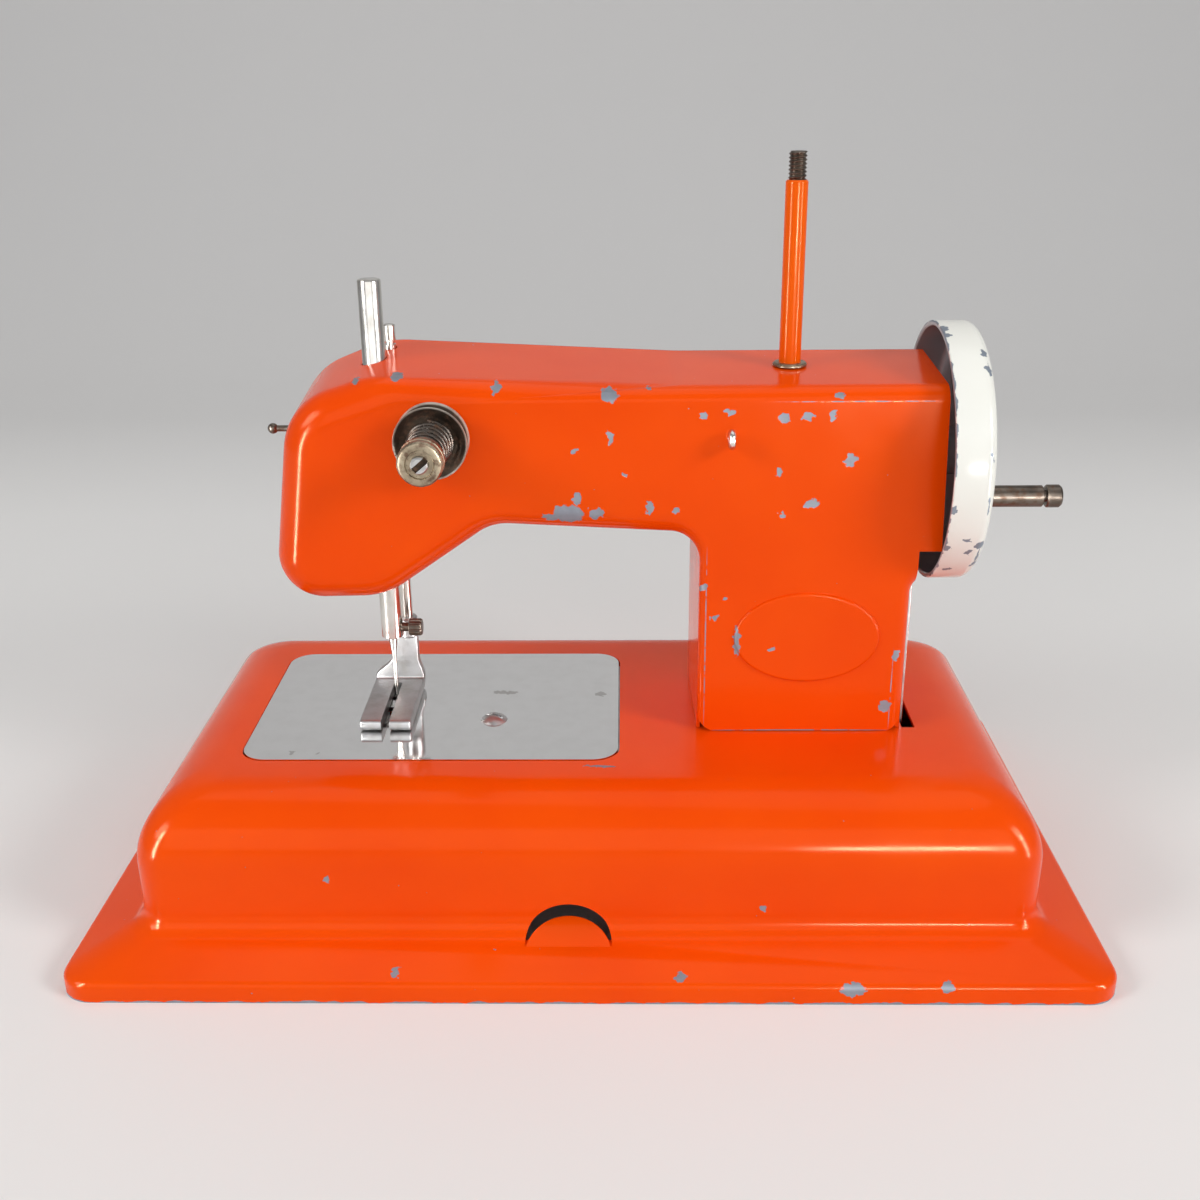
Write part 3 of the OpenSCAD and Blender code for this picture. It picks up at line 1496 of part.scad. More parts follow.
module looper() {
    color(steel) {
        shaft_arm(looper_left, looper_hub, looper_top, looper_half);
        translate([looper_left, mech_y, looper_top]) rotate([90, 0, 90]) linear_extrude(lever_sheet / 2)
            polygon([[0, -looper_root], [looper_hook, -hook_low], [looper_hook, -hook_high], [0, 0]]);
    }
}

feed_pin_d = 2.4;
feed_pin_front = 2.5;
feed_pin_y = mech_y - feed_pin_front;
feed_bar = 2;
feed_arm_half = 2.6;
feed_fork_half = 3.2;
feed_fork_drop = 6;
feed_fork_rise = 2;
feed_slot_drop = 2.6;

module feed_arm() {
    color(steel) difference() {
        union() {
            shaft_arm(feed_arm_x, feed_hub, feed_pin_z - feed_fork_half, feed_arm_half);
            block([feed_arm_x, feed_pin_y - feed_fork_half, feed_pin_z - feed_fork_drop],
                  [feed_arm_x + lever_sheet, feed_pin_y + feed_fork_half, feed_pin_z + feed_fork_rise]);
        }
        block([feed_arm_x - cut, feed_pin_y - feed_pin_d / 2 - slot_gap, feed_pin_z - feed_slot_drop],
              [feed_arm_x + lever_sheet + cut, feed_pin_y + feed_pin_d / 2 + slot_gap, far]);
    }
}

feed_low = feed_pin_z - feed_bar / 2;

module feed_guide() {
    low = feed_low - fit - guide_sheet;
    outside = guide_half + guide_sheet;
    color(steel) translate([needle_x, feed_y, 0]) {
        block([-outside, -guide_length / 2, low], [outside, guide_length / 2, low + guide_sheet]);
        for (x = [-outside, guide_half])
            block([x, -guide_length / 2, low], [x + guide_sheet, guide_length / 2, deck_under]);
    }
}

tooth = 1;
tooth_depth = 1.2;
tooth_rise = -0.1;
teeth_gap = 1.6;
tail_end = 0.5;

module feed_dog() {
    high = feed_low + feed_bar;
    back = feed_pin_y + feed_pin_d / 2 + tail_end;
    inside = guide_half - fit;
    color(steel) difference() {
        union() {
            translate([needle_x, feed_y, 0]) {
                block([-inside, -feed_length / 2, feed_low], [inside, feed_length / 2, high]);
                block([-feed_width / 2, -feed_length / 2, feed_low],
                      [feed_width / 2, feed_length / 2, plate_top + tooth_rise]);
            }
            block([looper_left, feed_y, feed_low], [looper_right - tooth, back, high]);
            translate([0, feed_pin_y, feed_pin_z])
                rod_x(looper_left + tooth, feed_arm_x + lever_sheet + slot_gap, feed_pin_d);
        }
        for (y = [feed_y - feed_length / 2 + tooth:2 * tooth:feed_y + feed_length / 2])
            translate([needle_x - feed_width, y, plate_top]) rotate([45, 0, 0])
                cube([2 * feed_width, tooth, tooth]);
        block([needle_x - teeth_gap / 2, feed_y - far, plate_top - tooth_depth],
              [needle_x + teeth_gap / 2, feed_y + feed_length / 2, far]);
    }
}

base_pan();
plate_ledges();
plate_bar();
needle_plate();
plate_screw();
front_casing();
rear_casing();
casing_posts();
casing_screws();
left_bearing_bracket();
right_bearing_bracket();
left_bush();
right_bush();
main_shaft();
handwheel();
handwheel_nut();
handle_rivet();
handle_sleeve();
needle_crank();
feed_cam();
head_bracket();
needle_bar_bushes();
presser_bar_bushes();
needle_bar();
needle_yoke();
needle();
needle_clamp_screw();
presser_bar();
presser_collar();
presser_spring();
presser_foot();
spool_pin();
spool_washer();
spool_pin_nut();
thread_eyelet();
thread_stud();
tension_stud();
tension_stud_nut();
tension_disc_rear();
tension_disc_front();
tension_spring();
spring_seat_washer();
tension_nut();
rocker_bracket();
rocker_pin();
rocker_lever();
rock_hangers();
rock_shaft();
rock_arm_lever();
looper();
feed_arm();
feed_guide();
feed_dog();
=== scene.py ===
"""Looks of the toy sewing machine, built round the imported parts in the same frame, in metres."""

import json
import math

import bmesh
import bpy
from mathutils import Matrix, Vector


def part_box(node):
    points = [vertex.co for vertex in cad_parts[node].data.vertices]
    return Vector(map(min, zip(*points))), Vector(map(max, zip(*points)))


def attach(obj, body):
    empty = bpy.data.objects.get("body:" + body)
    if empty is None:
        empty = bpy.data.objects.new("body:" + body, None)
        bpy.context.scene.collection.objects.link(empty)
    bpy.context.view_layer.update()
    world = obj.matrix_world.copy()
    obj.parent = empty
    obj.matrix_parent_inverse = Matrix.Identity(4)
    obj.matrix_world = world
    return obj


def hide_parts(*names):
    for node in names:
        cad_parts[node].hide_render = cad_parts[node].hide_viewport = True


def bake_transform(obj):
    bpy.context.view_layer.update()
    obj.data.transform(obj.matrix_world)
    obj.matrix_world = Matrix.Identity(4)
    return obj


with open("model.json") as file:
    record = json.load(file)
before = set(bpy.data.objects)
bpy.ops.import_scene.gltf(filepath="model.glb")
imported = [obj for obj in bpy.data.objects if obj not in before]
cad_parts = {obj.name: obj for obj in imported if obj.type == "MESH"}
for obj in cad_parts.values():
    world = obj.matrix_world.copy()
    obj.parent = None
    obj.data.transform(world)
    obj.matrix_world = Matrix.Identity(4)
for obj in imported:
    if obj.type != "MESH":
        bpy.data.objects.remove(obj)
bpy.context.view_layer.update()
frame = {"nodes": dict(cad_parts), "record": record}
scene = bpy.context.scene
MM = 0.001


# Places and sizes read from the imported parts, in millimetres

def low(part):
    return [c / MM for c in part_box(part)[0]]


def high(part):
    return [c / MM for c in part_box(part)[1]]


def middle(part):
    return [(a + b) / 2 for a, b in zip(low(part), high(part))]


def half(part, axis):
    """Half the size along axis 0, 1 or 2, which is the radius of a round part."""
    return (high(part)[axis] - low(part)[axis]) / 2


NEEDLE_X, MECH_Y, _ = middle("needle_bar")
PRESSER_X, PRESSER_Y, _ = middle("presser_bar")
TENSION_X, _, TENSION_Z = middle("tension_stud")
NEEDLE_AXIS = (NEEDLE_X, MECH_Y, 0)
PRESSER_AXIS = (PRESSER_X, PRESSER_Y, 0)
TENSION_AXIS = (TENSION_X, 0, TENSION_Z)
BAR_RADIUS = half("needle_bar", 0)
PRESSER_RADIUS = half("presser_bar", 0)
DISC_RADIUS = half("tension_disc_rear", 0)
SHAFT_Z = middle("main_shaft")[2]
DECK = high("base_pan")[2]
PLATE_TOP = high("needle_plate")[2]
BACK_Y = high("rear_casing")[1]
SEAM_Y = high("front_casing")[1]
FRONT_Y = 2 * MECH_Y - BACK_Y


# Mesh helpers, all in millimetres

def smooth(obj, angle=30):
    for face in obj.data.polygons:
        face.use_smooth = True
    obj.data.set_sharp_from_angle(angle=math.radians(angle))


def add_mesh(name, points, faces, material, angle=30):
    mesh = bpy.data.meshes.new(name)
    mesh.from_pydata([[c * MM for c in point] for point in points], [], faces)
    mesh.validate()
    mesh.update()
    obj = bpy.data.objects.new(name, mesh)
    scene.collection.objects.link(obj)
    mesh.materials.append(material)
    smooth(obj, angle)
    return obj


def face_outwards(obj):
    work = bmesh.new()
    work.from_mesh(obj.data)
    bmesh.ops.recalc_face_normals(work, faces=work.faces)
    work.to_mesh(obj.data)
    work.free()


def loft(name, rings, material, first_cap=True, last_cap=True, angle=30):
    """Skin through closed rings of equal length."""
    count = len(rings[0])
    points = [point for ring in rings for point in ring]
    faces = []
    for k in range(len(rings) - 1):
        for i in range(count):
            j = (i + 1) % count
            faces.append((k * count + i, (k + 1) * count + i, (k + 1) * count + j, k * count + j))
    if first_cap:
        faces.append(tuple(range(count)))
    if last_cap:
        start = (len(rings) - 1) * count
        faces.append(tuple(reversed(range(start, start + count))))
    obj = add_mesh(name, points, faces, material, angle)
    face_outwards(obj)
    smooth(obj, angle)
    return obj


def arc(centre, radius, start, end, steps):
    """Points of an arc in a plane, between two angles in degrees."""
    turns = [math.radians(start + (end - start) * i / steps) for i in range(steps + 1)]
    return [(centre[0] + radius * math.cos(turn), centre[1] + radius * math.sin(turn)) for turn in turns]


AXES = {
    "x": (Vector((0, 1, 0)), Vector((0, 0, 1)), Vector((1, 0, 0))),
    "y": (Vector((0, 0, 1)), Vector((1, 0, 0)), Vector((0, 1, 0))),
    "z": (Vector((1, 0, 0)), Vector((0, 1, 0)), Vector((0, 0, 1))),
}


def round_point(place, axis, along, radius, turn):
    """Point beside an axis through place, turned by an angle in radians."""
    side, other_side, way = AXES[axis]
    return Vector(place) + way * along + (side * math.cos(turn) + other_side * math.sin(turn)) * radius


def turned(name, profile, place, axis, material, segments=64, closed=False, flute=None, angle=30):
    """Turned piece: profile lists (distance along the axis, radius). A closed profile makes a ring.
    flute(turn, along, radius) may change the radius to cut knurls or threads."""
    rings = []
    for along, radius in profile + (profile[:1] if closed else []):
        ring = []
        for i in range(segments):
            turn = 2 * math.pi * i / segments
            cut_radius = flute(turn, along, radius) if flute else radius
            ring.append(round_point(place, axis, along, cut_radius, turn))
        rings.append(ring)
    return loft(name, rings, material, not closed, not closed, angle)


def tube(name, path, radius, material, sides=16):
    """Round wire along a row of points."""
    rings = []
    # Any direction will do that the path doesn't start along
    up = Vector((0.13, 0.91, 0.37)).normalized()
    turns = [2 * math.pi * i / sides for i in range(sides)]
    for k, point in enumerate(path):
        along = (path[min(k + 1, len(path) - 1)] - path[max(k - 1, 0)]).normalized()
        across = up.cross(along).normalized()
        up = along.cross(across)
        rings.append([point + (across * math.cos(turn) + up * math.sin(turn)) * radius for turn in turns])
    return loft(name, rings, material, angle=50)


def coil(first_radius, last_radius, first, last, coils, wire, place, axis, steps=40):
    """Path of a coil whose ends run along the axis for one wire thickness."""
    way = 1 if last > first else -1
    start, end = first + way * wire, last - way * wire
    count = int(coils * steps)
    path = [round_point(place, axis, first, first_radius, 0)]
    for i in range(count + 1):
        share = i / count
        along = start + (end - start) * share
        radius = first_radius + (last_radius - first_radius) * share
        path.append(round_point(place, axis, along, radius, 2 * math.pi * coils * share))
    path.append(path[-1] + AXES[axis][2] * (last - end))
    return path


def rounded_ring(half_x, half_y, radius, z, centre=(0, 0), steps=10):
    """Rectangle with round corners, lying at one height."""
    points = []
    for k, (side_x, side_y) in enumerate(((1, 1), (-1, 1), (-1, -1), (1, -1))):
        corner = (centre[0] + side_x * (half_x - radius), centre[1] + side_y * (half_y - radius))
        points += [(x, y, z) for x, y in arc(corner, radius, 90 * k, 90 * (k + 1), steps)]
    return points


def prism_y(name, outline, front, back, material):
    """Outline of (x, z) points pulled from front to back."""
    return loft(name, [[(x, y, z) for x, z in outline] for y in (front, back)], material)


def prism_z(name, outline, bottom, top, material):
    """Outline of (x, y) points pulled from bottom to top."""
    return loft(name, [[(x, y, z) for x, y in outline] for z in (bottom, top)], material)


def box_mesh(name, lower, upper, material):
    outline = [(lower[0], lower[1]), (upper[0], lower[1]), (upper[0], upper[1]), (lower[0], upper[1])]
    return prism_z(name, outline, lower[2], upper[2], material)


def apply_modifiers(obj, angle=30):
    graph = bpy.context.evaluated_depsgraph_get()
    mesh = bpy.data.meshes.new_from_object(obj.evaluated_get(graph))
    obj.modifiers.clear()
    obj.data = mesh
    smooth(obj, angle)


def cut(obj, *cutters, angle=30):
    for cutter in cutters:
        step = obj.modifiers.new("cut", "BOOLEAN")
        step.object = cutter
        step.operation = "DIFFERENCE"
        step.solver = "EXACT"
    bpy.context.view_layer.update()
    apply_modifiers(obj, angle)
    for cutter in cutters:
        bpy.data.objects.remove(cutter)


def soften(obj, width, segments=3, angle=40):
    """Rounded edges on a piece whose edges are sharp."""
    step = obj.modifiers.new("edges", "BEVEL")
    step.width = width * MM
    step.segments = segments
    step.limit_method = "ANGLE"
    step.angle_limit = math.radians(angle)


def paint_faces(obj, material, wanted):
    """Second material on the faces for which wanted(face) is true."""
    obj.data.materials.append(material)
    for face in obj.data.polygons:
        if wanted(face):
            face.material_index = 1


replaced = set()


def show(obj, body, slot, *nodes):
    """Piece that rides on a body and stands for the named parts."""
    if body:
        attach(obj, body)
    if nodes:
        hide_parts(*nodes)
        replaced.update(nodes)


# Shader helpers: noise scales are per metre

def new_material(name):
    material = bpy.data.materials.new(name)
    material.use_nodes = True
    tree = material.node_tree
    return material, tree, tree.nodes["Principled BSDF"]


def feed(tree, made, inputs):
    """Inputs of a shader node by name or number, as plain values or as outputs of other nodes."""
    for key, value in inputs.items():
        if isinstance(value, bpy.types.NodeSocket):
            tree.links.new(value, made.inputs[key])
        else:
            made.inputs[key].default_value = value


def node(tree, kind, inputs, **settings):
    """Shader node with its settings and inputs."""
    made = tree.nodes.new(kind)
    for key, value in settings.items():
        setattr(made, key, value)
    feed(tree, made, inputs)
    return made


def noise(tree, place, scale, detail=4.0, roughness=0.55):
    inputs = {"Vector": place, "Scale": scale, "Detail": detail, "Roughness": roughness}
    return node(tree, "ShaderNodeTexNoise", inputs).outputs["Fac"]


def band(tree, value, start, end, first=0.0, second=1.0):
    """Value moved from the range start to end into the range first to second."""
    inputs = {"Value": value, "From Min": start, "From Max": end, "To Min": first, "To Max": second}
    return node(tree, "ShaderNodeMapRange", inputs).outputs["Result"]


def mix_value(tree, share, first, second):
    return node(tree, "ShaderNodeMix", {0: share, 2: first, 3: second}).outputs[0]


def mix_colour(tree, share, first, second):
    first, second = [(*colour, 1) if isinstance(colour, tuple) else colour for colour in (first, second)]
    return node(tree, "ShaderNodeMix", {0: share, 6: first, 7: second}, data_type="RGBA").outputs[2]


def maths(tree, kind, first, second=0.0):
    return node(tree, "ShaderNodeMath", {0: first, 1: second}, operation=kind).outputs[0]


def vector_maths(tree, kind, first, second):
    return node(tree, "ShaderNodeVectorMath", {0: first, 1: second}, operation=kind).outputs[0]


def vector_length(tree, vector):
    return node(tree, "ShaderNodeVectorMath", {0: vector}, operation="LENGTH").outputs["Value"]


def object_place(tree):
    return tree.nodes.new("ShaderNodeTexCoord").outputs["Object"]


def place_along(tree, place, axis):
    return node(tree, "ShaderNodeSeparateXYZ", {0: place}).outputs[axis]


def height_bump(tree, shader, height, strength, depth):
    """Bump whose full height is a depth in millimetres."""
    inputs = {"Height": height, "Strength": strength, "Distance": depth * MM}
    feed(tree, shader, {"Normal": node(tree, "ShaderNodeBump", inputs).outputs["Normal"]})


def nearest_oval(tree, place, ovals):
    """Distance to the nearest oval, 1 on its edge.
    An oval is a middle and three half sizes in millimetres."""
    nearest = None
    for centre, size in ovals:
        offset = vector_maths(tree, "SUBTRACT", place, tuple(c * MM for c in centre))
        scaled = vector_maths(tree, "MULTIPLY", offset, tuple(1 / (s * MM) for s in size))
        distance = vector_length(tree, scaled)
        nearest = distance if nearest is None else maths(tree, "MINIMUM", nearest, distance)
    return nearest


# How far noise moves the edge of a chip, in millimetres
CHIP_RAGGED = 3.2


def chip_share(tree, place, chips):
    """1 inside ragged ovals and 0 outside."""
    inputs = {"Vector": place, "Scale": 700.0, "Detail": 3.0}
    ragged = node(tree, "ShaderNodeTexNoise", inputs).outputs["Color"]
    shift = vector_maths(tree, "SUBTRACT", ragged, (0.5, 0.5, 0.5))
    shift = vector_maths(tree, "MULTIPLY", shift, (CHIP_RAGGED * MM,) * 3)
    moved = vector_maths(tree, "ADD", place, shift)
    return band(tree, nearest_oval(tree, moved, chips), 1.06, 0.94)


def highlight_line_share(tree, place, lines):
    """1 on thin ovals that noise breaks up and 0 outside. The ovals are thin painted highlights along rounded
    edges.
    """
    broken = band(tree, noise(tree, place, scale=330.0, detail=3.0), 0.40, 0.52)
    return maths(tree, "MULTIPLY", band(tree, nearest_oval(tree, place, lines), 1.1, 0.8), broken)


# Paint: sizes in millimetres

BARE_METAL = (0.19, 0.215, 0.25)
BARE_SHINE, BARE_ROUGH = 1.5, 0.55
PAINT_SPECULAR = 0.3
PAINT_GLOSS = (0.12, 0.22)
EDGE_BLUR = 0.1
RIPPLE, RIPPLE_DEPTH = 0.35, 0.12


def enamel(name, colour, deep_colour, chips=(), worn=(), lines=(), glint=(1, 1, 1)):
    """Glossy stoved paint with a little ripple, specks, chips down to the grey metal, worn edges and thin
    grey streaks painted as highlights.
    A worn edge is an axis, a place on it, how far the wear reaches and how ragged it is."""
    material, tree, shader = new_material(name)
    place = object_place(tree)
    broad = noise(tree, place, scale=26.0, detail=3.0)
    fine = noise(tree, place, scale=420.0, detail=3.0)
    paint = mix_colour(tree, band(tree, broad, 0.35, 0.7), colour, deep_colour)
    bare_share = band(tree, noise(tree, place, scale=900.0, detail=2.0, roughness=0.4), 0.80, 0.82)
    if chips:
        bare_share = maths(tree, "MAXIMUM", bare_share, chip_share(tree, place, chips))
    # Painted highlights: thin grey streaks where rounded edges catch the light
    if lines:
        bare_share = maths(tree, "MAXIMUM", bare_share, highlight_line_share(tree, place, lines))
    for axis, line, reach, ragged in worn:
        wobble = band(tree, noise(tree, place, scale=240.0), 0.3, 0.7, -ragged * MM, ragged * MM)
        away = maths(tree, "ABSOLUTE", maths(tree, "SUBTRACT", place_along(tree, place, axis), line * MM))
        edge = band(tree, maths(tree, "ADD", away, wobble), (reach + EDGE_BLUR) * MM, reach * MM)
        bare_share = maths(tree, "MAXIMUM", bare_share, edge)
    bare = mix_colour(tree, fine, BARE_METAL, tuple(c * BARE_SHINE for c in BARE_METAL))
    gloss = band(tree, noise(tree, place, scale=60.0, detail=5.0), 0.3, 0.75, *PAINT_GLOSS)
    feed(tree, shader, {
        "Base Color": mix_colour(tree, bare_share, paint, bare),
        "Specular IOR Level": PAINT_SPECULAR,
        "Specular Tint": (*glint, 1),
        "Roughness": mix_value(tree, bare_share, gloss, BARE_ROUGH),
        "Metallic": band(tree, bare_share, 0.0, 1.0, 0.0, 0.4),
    })
    ripple = band(tree, noise(tree, place, scale=130.0, detail=2.0), 0.0, 1.0, 0.0, RIPPLE)
    height_bump(tree, shader, maths(tree, "SUBTRACT", ripple, bare_share), 0.22, RIPPLE_DEPTH)
    return material


# Chips on the front face of the casing: x, height, half width and half height
FRONT_CHIPS = [
    (5.8, 131.7, 2.0, 1.8), (14.8, 133.0, 0.7, 0.6), (28.1, 126.7, 1.0, 1.1), (34.2, 127.4, 1.4, 0.8),
    (47.1, 125.9, 1.4, 1.2), (52.7, 126.4, 1.8, 0.9), (58.6, 126.3, 0.9, 1.5), (60.0, 131.1, 0.9, 0.7),
    (63.5, 115.3, 1.7, 1.4), (46.4, 112.6, 0.8, 0.9), (54.7, 104.5, 2.0, 1.2), (47.5, 101.8, 1.0, 0.8),
    (-4.6, 102.2, 3.6, 2.6), (-9.0, 101.3, 2.4, 0.8), (-2.3, 106.0, 1.2, 1.3), (2.2, 102.2, 1.8, 1.5),
    (15.4, 103.9, 1.0, 1.8), (21.7, 102.9, 1.0, 1.0), (5.8, 121.2, 0.6, 1.6), (-2.9, 118.1, 0.8, 0.7),
    (9.1, 112.0, 0.6, 0.6), (28.7, 82.8, 1.2, 1.1), (34.2, 79.8, 0.6, 0.7), (31.8, 75.0, 1.0, 0.7),
    (37.4, 68.4, 0.7, 4.1), (45.9, 66.5, 0.8, 0.7), (77.8, 64.5, 0.9, 1.7), (75.7, 50.2, 1.5, 1.4),
]
CHIP_DEPTH = 3.5
front_chips = [((x, FRONT_Y, z), (w, CHIP_DEPTH, h)) for x, z, w, h in FRONT_CHIPS]
# Chips along the casing's top edge: middles and half sizes
front_chips += [
    ((-55.6, FRONT_Y + 5.8, 135), (1.2, 3, 1.5)), ((-45.4, FRONT_Y + 5.8, 135), (1.5, 3, 1.5)),
    ((-21.2, FRONT_Y + 2.4, 133), (1.1, 3, 1.6)),
]
# Chips on the base: middles and half sizes
base_chips = [
    ((3.0, -36.0, DECK), (4.0, 0.5, 2.0)), ((-42.0, -48.0, 38.0), (0.8, 2.0, 0.8)),
    ((-62.0, -57.0, 24.0), (0.6, 2.0, 1.0)), ((42.0, -57.0, 16.0), (0.7, 2.0, 0.9)),
    ((62.0, -72.0, 4.0), (3.0, 2.0, 1.6)), ((84.0, -72.0, 4.4), (1.6, 2.0, 1.2)),
    ((-45.0, -69.0, 6.2), (1.0, 2.0, 0.8)), ((22.0, -70.0, 5.8), (1.2, 1.6, 0.8)),
]
# Thin grey streaks painted as highlights on the rounded front edges of the column and arm, and one along the
# column's foot: middles and half sizes
painted_highlight_lines = [
    ((29.5, FRONT_Y, 69), (0.16, 2, 24)), ((77.1, FRONT_Y, 55), (0.14, 2, 11)),
    ((66, FRONT_Y, 129.8), (20, 2, 0.14)), ((54, FRONT_Y, DECK + 0.3), (23, 2, 0.25)),
]
lip_wear = [("Z", 0, 0.35, 0.4)]
ORANGE, DEEP_ORANGE = (0.87, 0.076, 0.001), (0.83, 0.063, 0.001)
WARM = (1.0, 0.5, 0.28)
casing_paint = enamel("casing enamel", ORANGE, DEEP_ORANGE, front_chips, lines=painted_highlight_lines, glint=WARM)
base_paint = enamel("base enamel", ORANGE, DEEP_ORANGE, base_chips, lip_wear, glint=WARM)
pin_paint = enamel("pin enamel", (0.87, 0.12, 0.002), (0.84, 0.1, 0.002), glint=WARM)

WHEEL_RADIUS, WHEEL_WIDTH, WHEEL_SHEET, WHEEL_EDGE = half("handwheel", 2), 9.9, 1.3, 2.6
WHEEL_RIGHT = high("handwheel")[0]
WHEEL_LEFT = WHEEL_RIGHT - WHEEL_WIDTH
# Chips on the rim: distance from its left edge, angle from straight down to the front, half size
RIM_CHIPS = [
    (4.9, 64, 0.9), (5.9, 56, 0.9), (2.7, 41, 0.9), (8.4, 60, 1.4), (8.9, 45.5, 1.2), (0.3, 58.5, 1.1),
    (0.3, 79.5, 1.0), (7.9, 103.5, 0.6), (8.4, 150, 1.3), (8.8, 140, 1.2), (0.3, 170, 1.6), (0.3, 163, 1.2),
]


def on_rim(along, angle):
    turn = math.radians(angle)
    y = MECH_Y - WHEEL_RADIUS * math.sin(turn)
    return (WHEEL_LEFT + along, y, SHAFT_Z - WHEEL_RADIUS * math.cos(turn))


rim_chips = [(on_rim(along, angle), (size, size, size)) for along, angle, size in RIM_CHIPS]
rim_wear = [("X", WHEEL_LEFT, 0.1, 0.5), ("X", WHEEL_RIGHT - WHEEL_EDGE / 2, -0.2, 0.6)]
cream_paint = enamel("wheel enamel", (0.86, 0.86, 0.80), (0.82, 0.81, 0.74), rim_chips, rim_wear)
primer = enamel("wheel primer", (0.40, 0.41, 0.43), (0.32, 0.33, 0.35))


# Metals: sizes in millimetres

RUST = (0.10, 0.045, 0.02)
PALE_RIM_METAL = (0.55, 0.5, 0.43)
PALE_RIM_START, PALE_RIM_END = 0.55, 0.25
SCRATCH_DEPTH = 0.05


def metal(name, colour, dark, rough, stain, stretch=(1, 1, 1), rust=None, pale_rim=None, smears=()):
    """Bare or plated metal with stains, fine scratches and, where given, rust spots, smears and a paler rim.
    A paler rim is a point on an axis along Y and the radius of the rim."""
    material, tree, shader = new_material(name)
    place = object_place(tree)
    stains = band(tree, noise(tree, place, scale=210.0, detail=5.0), 0.42, 0.78, 0.0, stain)
    finish = mix_colour(tree, stains, colour, dark)
    metallic = 1.0
    if rust is not None:
        spots = band(tree, noise(tree, place, scale=520.0, detail=5.0, roughness=0.65), 0.5, 0.66, 0.0, 0.9)
        finish = mix_colour(tree, spots, finish, rust)
        metallic = band(tree, spots, 0.0, 1.0, 1.0, 0.35)
    if smears:
        smeared = band(tree, chip_share(tree, place, smears), 0.0, 1.0, 0.0, 0.7)
        finish = mix_colour(tree, smeared, finish, dark)
    if pale_rim is not None:
        # Paler metal in a thin band at the rim's edge
        centre, radius = pale_rim
        offset = vector_maths(tree, "SUBTRACT", place, tuple(c * MM for c in centre))
        away = vector_length(tree, vector_maths(tree, "MULTIPLY", offset, (1.0, 0.0, 1.0)))
        rim = band(tree, away, (radius - PALE_RIM_START) * MM, (radius - PALE_RIM_END) * MM, 0.0, 0.85)
        finish = mix_colour(tree, rim, finish, PALE_RIM_METAL)
    drawn = vector_maths(tree, "MULTIPLY", place, tuple(float(s) for s in stretch))
    scratches = noise(tree, drawn, scale=1500.0, detail=3.0, roughness=0.7)
    feed(tree, shader, {
        "Base Color": finish,
        "Metallic": metallic,
        "Roughness": band(tree, scratches, 0.25, 0.8, rough * 0.75, rough * 1.45),
    })
    height_bump(tree, shader, scratches, 0.08, SCRATCH_DEPTH)
    return material


# Smears on the plate: middles and half sizes
plate_smears = [
    ((-23.6, 6.2, PLATE_TOP), (3.4, 1.0, 2)), ((2.3, 5.2, PLATE_TOP), (1.6, 1.2, 2)),
    ((-75, -29, PLATE_TOP), (0.8, 0.8, 2)), ((-68, -29.4, PLATE_TOP), (0.7, 0.7, 2)),
]
mirror_plate = metal("polished plate", (0.86, 0.86, 0.86), (0.42, 0.4, 0.38), rough=0.06, stain=0.12,
                     stretch=(0.15, 2, 1), smears=plate_smears)
nickel = metal("nickel", (0.74, 0.72, 0.68), (0.42, 0.37, 0.3), rough=0.2, stain=0.5, stretch=(1, 1, 0.1))
zinc = metal("zinc steel", (0.5, 0.5, 0.5), (0.28, 0.26, 0.23), rough=0.36, stain=0.6)
brown_steel = metal("browned steel", (0.17, 0.14, 0.115), (0.05, 0.04, 0.032), rough=0.32, stain=0.9,
                    stretch=(0.1, 1, 1), rust=RUST)
worn_nickel = metal("worn nickel", (0.42, 0.35, 0.25), (0.15, 0.11, 0.07), rough=0.32, stain=0.9, rust=RUST)
wire_steel = metal("spring wire", (0.13, 0.11, 0.095), (0.03, 0.025, 0.02), rough=0.28, stain=0.8, rust=RUST)
# Dark stained disc metal, also used as painted shade inside the stud's slot
disc_stain_and_slot_shade = metal("stained disc and slot shade", (0.065, 0.048, 0.036), (0.022, 0.016, 0.012), rough=0.45, stain=1.0,
                   rust=RUST, pale_rim=(TENSION_AXIS, DISC_RADIUS))
bronze = metal("bronze", (0.5, 0.33, 0.14), (0.3, 0.18, 0.07), rough=0.3, stain=0.5)
PAINTS = {
    "orange_paint": base_paint, "cream_paint": cream_paint, "bright_plate": mirror_plate,
    "bright_bar": nickel, "plain_steel": zinc, "dark_steel": brown_steel, "rusty_nickel": worn_nickel,
    "bronze": bronze,
}


# Base pan: one skin from the lip's foot over the flange, wall and shoulder to the top, and back inside

HALF_LENGTH, HALF_WIDTH = half("base_pan", 0), half("base_pan", 1)
SHEET, SHEET_EDGE = 1.0, 0.2
SHEET_SMOOTH = 35
LIP_HEIGHT, LIP_ROUND = 5.0, 2.0
WALL_INSET, FLANGE_RISE = 15.5, 5.0
FOOT_RADIUS, SHOULDER_RADIUS, BASE_CORNER = 5.0, 17.0, 8.0
SLOPE = math.atan(FLANGE_RISE / WALL_INSET)


def flange_height(inset):
    return LIP_HEIGHT + inset * math.tan(SLOPE)


